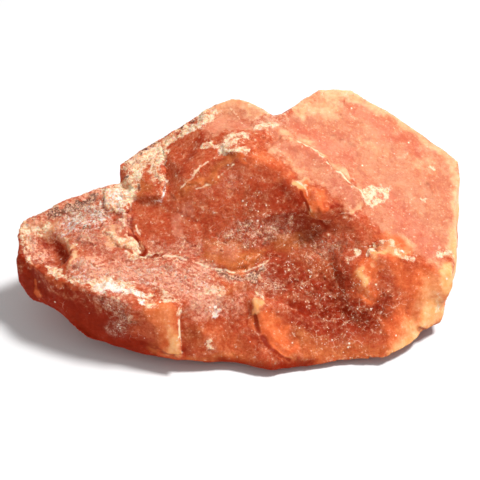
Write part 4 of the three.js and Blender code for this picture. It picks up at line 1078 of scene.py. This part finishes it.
def lines(w, grain, colours, colour):
    """Painted highlights on layer edges, pale lines, painted shadow lines and painted underside shade.
    """
    edge = w.broken(w.painted("edge"), grain.grainy_edge, 1.2, 0.3)
    pale = w.broken(w.painted("vein"), grain.grainy_edge, 1.1, 0.2)
    # Dark lines: painted shadow.
    dark = w.ramp(w.painted("vein"), -0.3, -0.7, 0.0, 0.9)
    colour = w.mix(w.times(edge, COVER["edge"]), colour, colours.crust_light)
    colour = w.mix(w.times(pale, COVER["vein"]), colour, colours.crust_light)
    colour = w.mix(dark, colour, colours.deep_dark)
    return w.mix(w.times(w.painted("under"), COVER["under"]), colour, colours.deep_dark)


def flakes_and_painted_glints(w, grain, colours, colour):
    """Bright flakes and small crystals in clumps, partly painted glints, and hair cracks painted as
    highlights.
    """
    specks = w.painted("specks")
    flaky = w.noise(0.5 * MM, 3.0, 0.7, w.shifted(0.03))
    flakes = w.total((flaky, 0.5), (grain.patches, 0.35), (grain.sugar, 0.15), (specks, 0.075))
    flakes = w.times(w.ramp(flakes, 0.66, 0.70, 0.0, 0.85), grain.unclean)
    colour = w.mix(flakes, colour, colours.dust_light)

    clumps = w.times(specks, w.ramp(grain.patches, 0.46, 0.66))
    clumps = w.math("MULTIPLY_ADD", clumps, 0.2, 0.002)
    for size, share in ((0.24 * MM, 0.7), (0.48 * MM, 0.5)):
        crystals = w.cells(size, place=w.shifted(0.02))
        chance = w.node("ShaderNodeSeparateColor", {"Color": crystals["Color"]}).outputs[1]
        rare = w.math("SUBTRACT", 1.0, w.times(clumps, share))
        chosen = w.math("GREATER_THAN", chance, rare)
        crystal = w.times(chosen, w.ramp(crystals["Distance"], 0.5, 0.25))
        colour = w.mix(w.times(crystal, COVER["white_speck_and_painted_glint"]), colour, colours.white_speck_and_painted_glint)

    # Hair cracks painted pale as highlights.
    wandering = w.node(
        "ShaderNodeTexNoise", {"Vector": w.place, "Scale": 1.0 / (1.1 * MM), "Detail": 2.0}
    ).outputs["Color"]
    wandering = w.node(
        "ShaderNodeVectorMath", {0: wandering, "Scale": 0.9 * MM}, operation="SCALE"
    ).outputs["Vector"]
    crack_highlights = w.cells(1.5 * MM, "DISTANCE_TO_EDGE", w.vector("ADD", w.place, wandering))["Distance"]
    crack_highlights = w.times(w.ramp(crack_highlights, 0.045, 0.0), w.ramp(grain.patchy, 0.5, 0.62))
    crack_highlights = w.times(crack_highlights, w.math("MULTIPLY_ADD", specks, 0.6, 0.05))
    return w.mix(crack_highlights, colour, colours.dust_light)


def fine_relief(w, grain):
    """Grain everywhere, more of it in the crust and where the stone is broken; heights in metres."""
    rough = w.total(
        (w.painted("crust"), 0.75),
        (w.painted("rose"), 0.7),
        (w.painted("dust"), 0.5),
        (w.painted("specks"), 0.5),
    )
    rough = w.math("MINIMUM", rough, 1.3)
    grain_share = w.math("MULTIPLY_ADD", rough, 0.9, 0.35)
    chip_share = w.math("MULTIPLY_ADD", rough, 0.6, 0.10)
    sugar_height = w.math("MULTIPLY_ADD", rough, 0.07 * MM, 0.02 * MM)
    height = w.times(w.facets(grain.cells), grain_share)
    height = w.math("ADD", height, w.times(w.facets(w.cells(0.85 * MM)), chip_share))
    sugar = w.total((grain.sugar, 0.6), (grain.fine, 1.0))
    height = w.math("ADD", height, w.times(sugar, sugar_height))
    height = w.times(height, w.ramp(grain.clean, 0.2, 0.9, 1.0, 0.5))
    bump = w.node("ShaderNodeBump", {"Strength": 1.0, "Distance": 1.0, "Height": height})
    return bump.outputs["Normal"]


def aventurine(colours):
    """The stone's one material: brick-red quartz with its slab, crust, dust, clear and dark places,
    painted light and shade.
    """
    material = bpy.data.materials.new("aventurine")
    w = Wiring(material)
    grain = Grain(w)
    colour = finishes(w, grain, colours)
    for layer in (dusted, edge_highlights_and_crease_shade, lines, flakes_and_painted_glints):
        colour = layer(w, grain, colours, colour)
    gloss = w.total((w.painted("crust"), 0.22), (w.painted("rose"), 0.12), (w.painted("slab"), -0.04))
    shader = w.node(
        "ShaderNodeBsdfPrincipled",
        {
            "Base Color": colour,
            "Roughness": w.math("ADD", gloss, 0.4),
            "Normal": fine_relief(w, grain),
        },
    )
    shader.inputs["IOR"].default_value = QUARTZ_IOR
    shader.inputs["Specular IOR Level"].default_value = colours.shine
    shader.inputs["Subsurface Weight"].default_value = colours.translucency
    shader.inputs["Subsurface Radius"].default_value = GLOW_SPREAD
    shader.inputs["Subsurface Scale"].default_value = colours.glow_depth
    w.node("ShaderNodeOutputMaterial", {"Surface": shader.outputs["BSDF"]})
    return material


def floor_paint(colour):
    """Plain, matt, pale paint."""
    material = bpy.data.materials.new("pale_floor")
    w = Wiring(material)
    shader = w.node("ShaderNodeBsdfPrincipled", {"Base Color": (*colour, 1.0), "Roughness": 0.9})
    w.node("ShaderNodeOutputMaterial", {"Surface": shader.outputs["BSDF"]})
    return material


def colour_property(name, description, default):
    """A colour that a user can change."""
    return bpy.props.FloatVectorProperty(
        name=name,
        description=description,
        default=default,
        subtype="COLOR",
        size=3,
        min=0.0,
        max=1.0,
    )


class StoneShape(bpy.types.PropertyGroup):
    """Sizes of the stone's finish."""

    fineness: bpy.props.FloatProperty(
        name="Fineness", description="Size of the surface's mesh", default=0.00027, unit="LENGTH"
    )
    triangles: bpy.props.IntProperty(
        name="Triangles",
        description="About how many triangles the stone keeps",
        default=190000,
        min=1000,
    )
    crease_angle: bpy.props.FloatProperty(
        name="Crease angle",
        description="Edges sharper than this stay sharp",
        default=math.radians(24.0),
        subtype="ANGLE",
    )
    crease: bpy.props.FloatProperty(
        name="Crease", description="How sharp the sharp edges stay", default=0.8, min=0.0, max=1.0
    )
    wear: bpy.props.IntProperty(
        name="Wear", description="How often the worn rims are smoothed", default=100, min=0
    )
    seed: bpy.props.IntProperty(
        name="Seed", description="Which of many ways the edges of the finishes run", default=21, min=1
    )
    softening: bpy.props.IntProperty(
        name="Softening", description="How often the finished folds are smoothed", default=40, min=0
    )
    wave_height: bpy.props.FloatProperty(
        name="Wave height",
        description="Height of the faces' slow waves",
        default=0.00025,
        unit="LENGTH",
    )
    lump_height: bpy.props.FloatProperty(
        name="Lump height",
        description="Height of the lumps of the broken faces",
        default=0.00012,
        unit="LENGTH",
    )
    chip_height: bpy.props.FloatProperty(
        name="Chip height", description="Height of the small breaks", default=0.0006, unit="LENGTH"
    )
    grain_height: bpy.props.FloatProperty(
        name="Grain height",
        description="Height of the grains of the crust",
        default=0.0003,
        unit="LENGTH",
    )


class StoneColours(bpy.types.PropertyGroup):
    """Colours of the stone's finish."""

    brick_dark: colour_property("Brick", "The quartz of the broken faces", (0.46, 0.06, 0.02))
    brick_light: colour_property("Light brick", "Its lighter grains", (0.61, 0.12, 0.049))
    # Deep red is also painted shade, and the colour of the painted shade in creases, under edges and in
    # dark lines.
    deep_dark: colour_property("Deep red", "Clean, thick quartz", (0.255, 0.0155, 0.0035))
    deep_light: colour_property("Light deep red", "Its lighter grains", (0.35, 0.0245, 0.006))
    # The slab's colours are lightened as painted sheen.
    slab_dark: colour_property("Slab", "The smooth slab", (0.60, 0.162, 0.086))
    slab_light: colour_property("Light slab", "Pale clouds on the slab", (0.70, 0.305, 0.172))
    flush_dark: colour_property("Flush", "Rosy places of the slab", (0.6, 0.125, 0.068))
    flush_light: colour_property("Light flush", "Their lighter parts", (0.71, 0.24, 0.145))
    cream_dark: colour_property("Cream", "Creamy places", (0.83, 0.36, 0.18))
    cream_light: colour_property("Light cream", "Their lightest parts", (0.9, 0.55, 0.31))
    amber_dark: colour_property("Amber", "Clear orange-brown quartz", (0.45, 0.09, 0.024))
    amber_light: colour_property("Light amber", "Its lighter parts", (0.66, 0.188, 0.053))
    # Ember is partly painted glow.
    ember_dark: colour_property("Ember", "Clear orange quartz", (0.66, 0.105, 0.03))
    ember_light: colour_property("Light ember", "Its lighter parts", (0.84, 0.2, 0.062))
    # Glow is painted glow of light through thin edges.
    glow_dark: colour_property("Glow", "Thin edges", (0.96, 0.40, 0.135))
    glow_light: colour_property("Light glow", "Their lightest parts", (1.0, 0.57, 0.28))
    rose_dark: colour_property("Rose", "Rose grain", (0.52, 0.11, 0.055))
    rose_light: colour_property("Light rose", "Its lighter grains", (0.95, 0.47, 0.31))
    dust_dark: colour_property("Dust", "Pale dust", (0.78, 0.34, 0.22))
    # Light dust is also the colour of the bright flakes and crack highlights, partly painted glints.
    dust_light: colour_property("Light dust", "Its lightest grains", (1, 0.72, 0.52))
    crust_dark: colour_property("Crust", "The crust's darker grains", (0.84, 0.34, 0.17))
    # Light crust is also the colour of the painted edge highlights and the pale lines.
    crust_light: colour_property("Light crust", "Cream crust", (1.0, 0.78, 0.54))
    white_dark: colour_property("White", "White quartz", (1.0, 0.70, 0.52))
    white_light: colour_property("Light white", "Its lightest grains", (1.0, 0.93, 0.85))
    mineral_dark: colour_property("Mineral", "Grey-brown mineral", (0.16, 0.055, 0.032))
    mineral_light: colour_property("Light mineral", "Its lighter grains", (0.84, 0.47, 0.32))
    # Specks are partly painted glints.
    white_speck_and_painted_glint: colour_property("Speck", "Glittering specks", (1.0, 0.84, 0.68))
    translucency: bpy.props.FloatProperty(
        name="Translucency",
        description="How much light passes under the surface",
        default=0.45,
        min=0.0,
        max=1.0,
    )
    shine: bpy.props.FloatProperty(
        name="Shine", description="How much the grains' faces mirror", default=0.025, min=0.0, max=1.0
    )
    glow_depth: bpy.props.FloatProperty(
        name="Glow depth",
        description="How far red light travels in the stone",
        default=0.0018,
        unit="LENGTH",
    )


class StageSetup(bpy.types.PropertyGroup):
    """The camera, the lights and the floor."""

    elevation: bpy.props.FloatProperty(
        name="Camera elevation",
        description="Angle of the view down",
        default=math.radians(38.0),
        subtype="ANGLE",
    )
    distance: bpy.props.FloatProperty(
        name="Camera distance",
        description="From the camera to where it looks",
        default=0.241,
        unit="LENGTH",
    )
    lens: bpy.props.FloatProperty(
        name="Lens", description="Focal length of the camera", default=100.0, unit="CAMERA"
    )
    key_power: bpy.props.FloatProperty(
        name="Key light", description="Power of the main light", default=2.8, unit="POWER"
    )
    key_size: bpy.props.FloatProperty(
        name="Key size", description="Width of the main light", default=0.1, unit="LENGTH"
    )
    fill_power: bpy.props.FloatProperty(
        name="Fill light", description="Power of the soft front light", default=0.2, unit="POWER"
    )
    sky: bpy.props.FloatProperty(
        name="Sky", description="Strength of the even light from all round", default=0.40, min=0.0
    )
    floor: colour_property("Floor", "Colour of the floor", (0.85, 0.85, 0.85))


class AVENTURINE_OT_stone(bpy.types.Operator):
    """Build the stone's finished surface and its material"""

    bl_idname = "aventurine.stone"
    bl_label = "Stone"

    def execute(self, context):
        shape = context.scene.stone_shape
        stone = rough_out(shape)
        noise.seed_set(shape.seed)
        wear(stone, WORN, shape.wear)
        sculpt(stone, shape)
        wear(stone, SOFTENED, shape.softening)
        thin_out(stone, shape)
        paint(stone)
        only(stone)
        bpy.ops.object.shade_smooth()
        stone.data.materials.append(aventurine(context.scene.stone_colours))
        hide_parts(STONE)
        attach(stone, BODY)
        return {"FINISHED"}


class AVENTURINE_OT_stage(bpy.types.Operator):
    """Set out the floor, the lights and the camera"""

    bl_idname = "aventurine.stage"
    bl_label = "Stage"

    def execute(self, context):
        stage = context.scene.stone_stage
        bpy.ops.object.select_all(action="DESELECT")
        bpy.ops.mesh.primitive_plane_add(size=FLOOR_SIZE, location=(0.0, 0.0, LOW[2]))
        floor = context.object
        floor.name = "floor"
        floor.data.materials.append(floor_paint(stage.floor))

        middle = Vector(LOW + SIDES * np.array(AIM))
        back = Vector((0.0, -math.cos(stage.elevation), math.sin(stage.elevation)))
        bpy.ops.object.camera_add(location=middle + back * stage.distance)
        camera = context.object
        camera.rotation_euler = (-back).to_track_quat("-Z", "Y").to_euler()
        camera.data.lens = stage.lens
        camera.data.clip_start = NEAREST
        context.scene.camera = camera

        for name, direction, power, size in (
            ("key", KEY_FROM, stage.key_power, stage.key_size),
            ("fill", FILL_FROM, stage.fill_power, FILL_SIZE),
        ):
            toward = Vector(direction).normalized()
            bpy.ops.object.light_add(type="AREA", location=middle + toward * LIGHT_DISTANCE)
            light = context.object
            light.name = name
            light.rotation_euler = toward.to_track_quat("Z", "Y").to_euler()
            light.data.energy = power
            light.data.size = size

        world = bpy.data.worlds.new("studio")
        world.use_nodes = True
        sky = world.node_tree.nodes["Background"]
        sky.inputs["Color"].default_value = (1.0, 1.0, 1.0, 1.0)
        sky.inputs["Strength"].default_value = stage.sky
        context.scene.world = world
        context.scene.view_settings.view_transform = "Standard"
        return {"FINISHED"}


class AVENTURINE_PT_panel(bpy.types.Panel):
    """Lists the stone, its colours and the stage"""

    bl_label = "Rough Aventurine"
    bl_space_type = "VIEW_3D"
    bl_region_type = "UI"
    bl_category = "Aventurine"

    def draw(self, context):
        for operator, group in (
            (AVENTURINE_OT_stone, context.scene.stone_shape),
            (AVENTURINE_OT_stone, context.scene.stone_colours),
            (AVENTURINE_OT_stage, context.scene.stone_stage),
        ):
            box = self.layout.box()
            box.operator(operator.bl_idname)
            for name in group.__annotations__:
                box.prop(group, name)


CLASSES = (
    StoneShape,
    StoneColours,
    StageSetup,
    AVENTURINE_OT_stone,
    AVENTURINE_OT_stage,
    AVENTURINE_PT_panel,
)


def register():
    """Adds the add-on's classes and its settings."""
    for cls in CLASSES:
        bpy.utils.register_class(cls)
    bpy.types.Scene.stone_shape = bpy.props.PointerProperty(type=StoneShape)
    bpy.types.Scene.stone_colours = bpy.props.PointerProperty(type=StoneColours)
    bpy.types.Scene.stone_stage = bpy.props.PointerProperty(type=StageSetup)


def unregister():
    """Takes them away again."""
    del bpy.types.Scene.stone_stage
    del bpy.types.Scene.stone_colours
    del bpy.types.Scene.stone_shape
    for cls in reversed(CLASSES):
        bpy.utils.unregister_class(cls)


def main():
    """Builds the stone and its stage."""
    register()
    bpy.ops.aventurine.stone()
    bpy.ops.aventurine.stage()


if __name__ == "__main__":
    main()
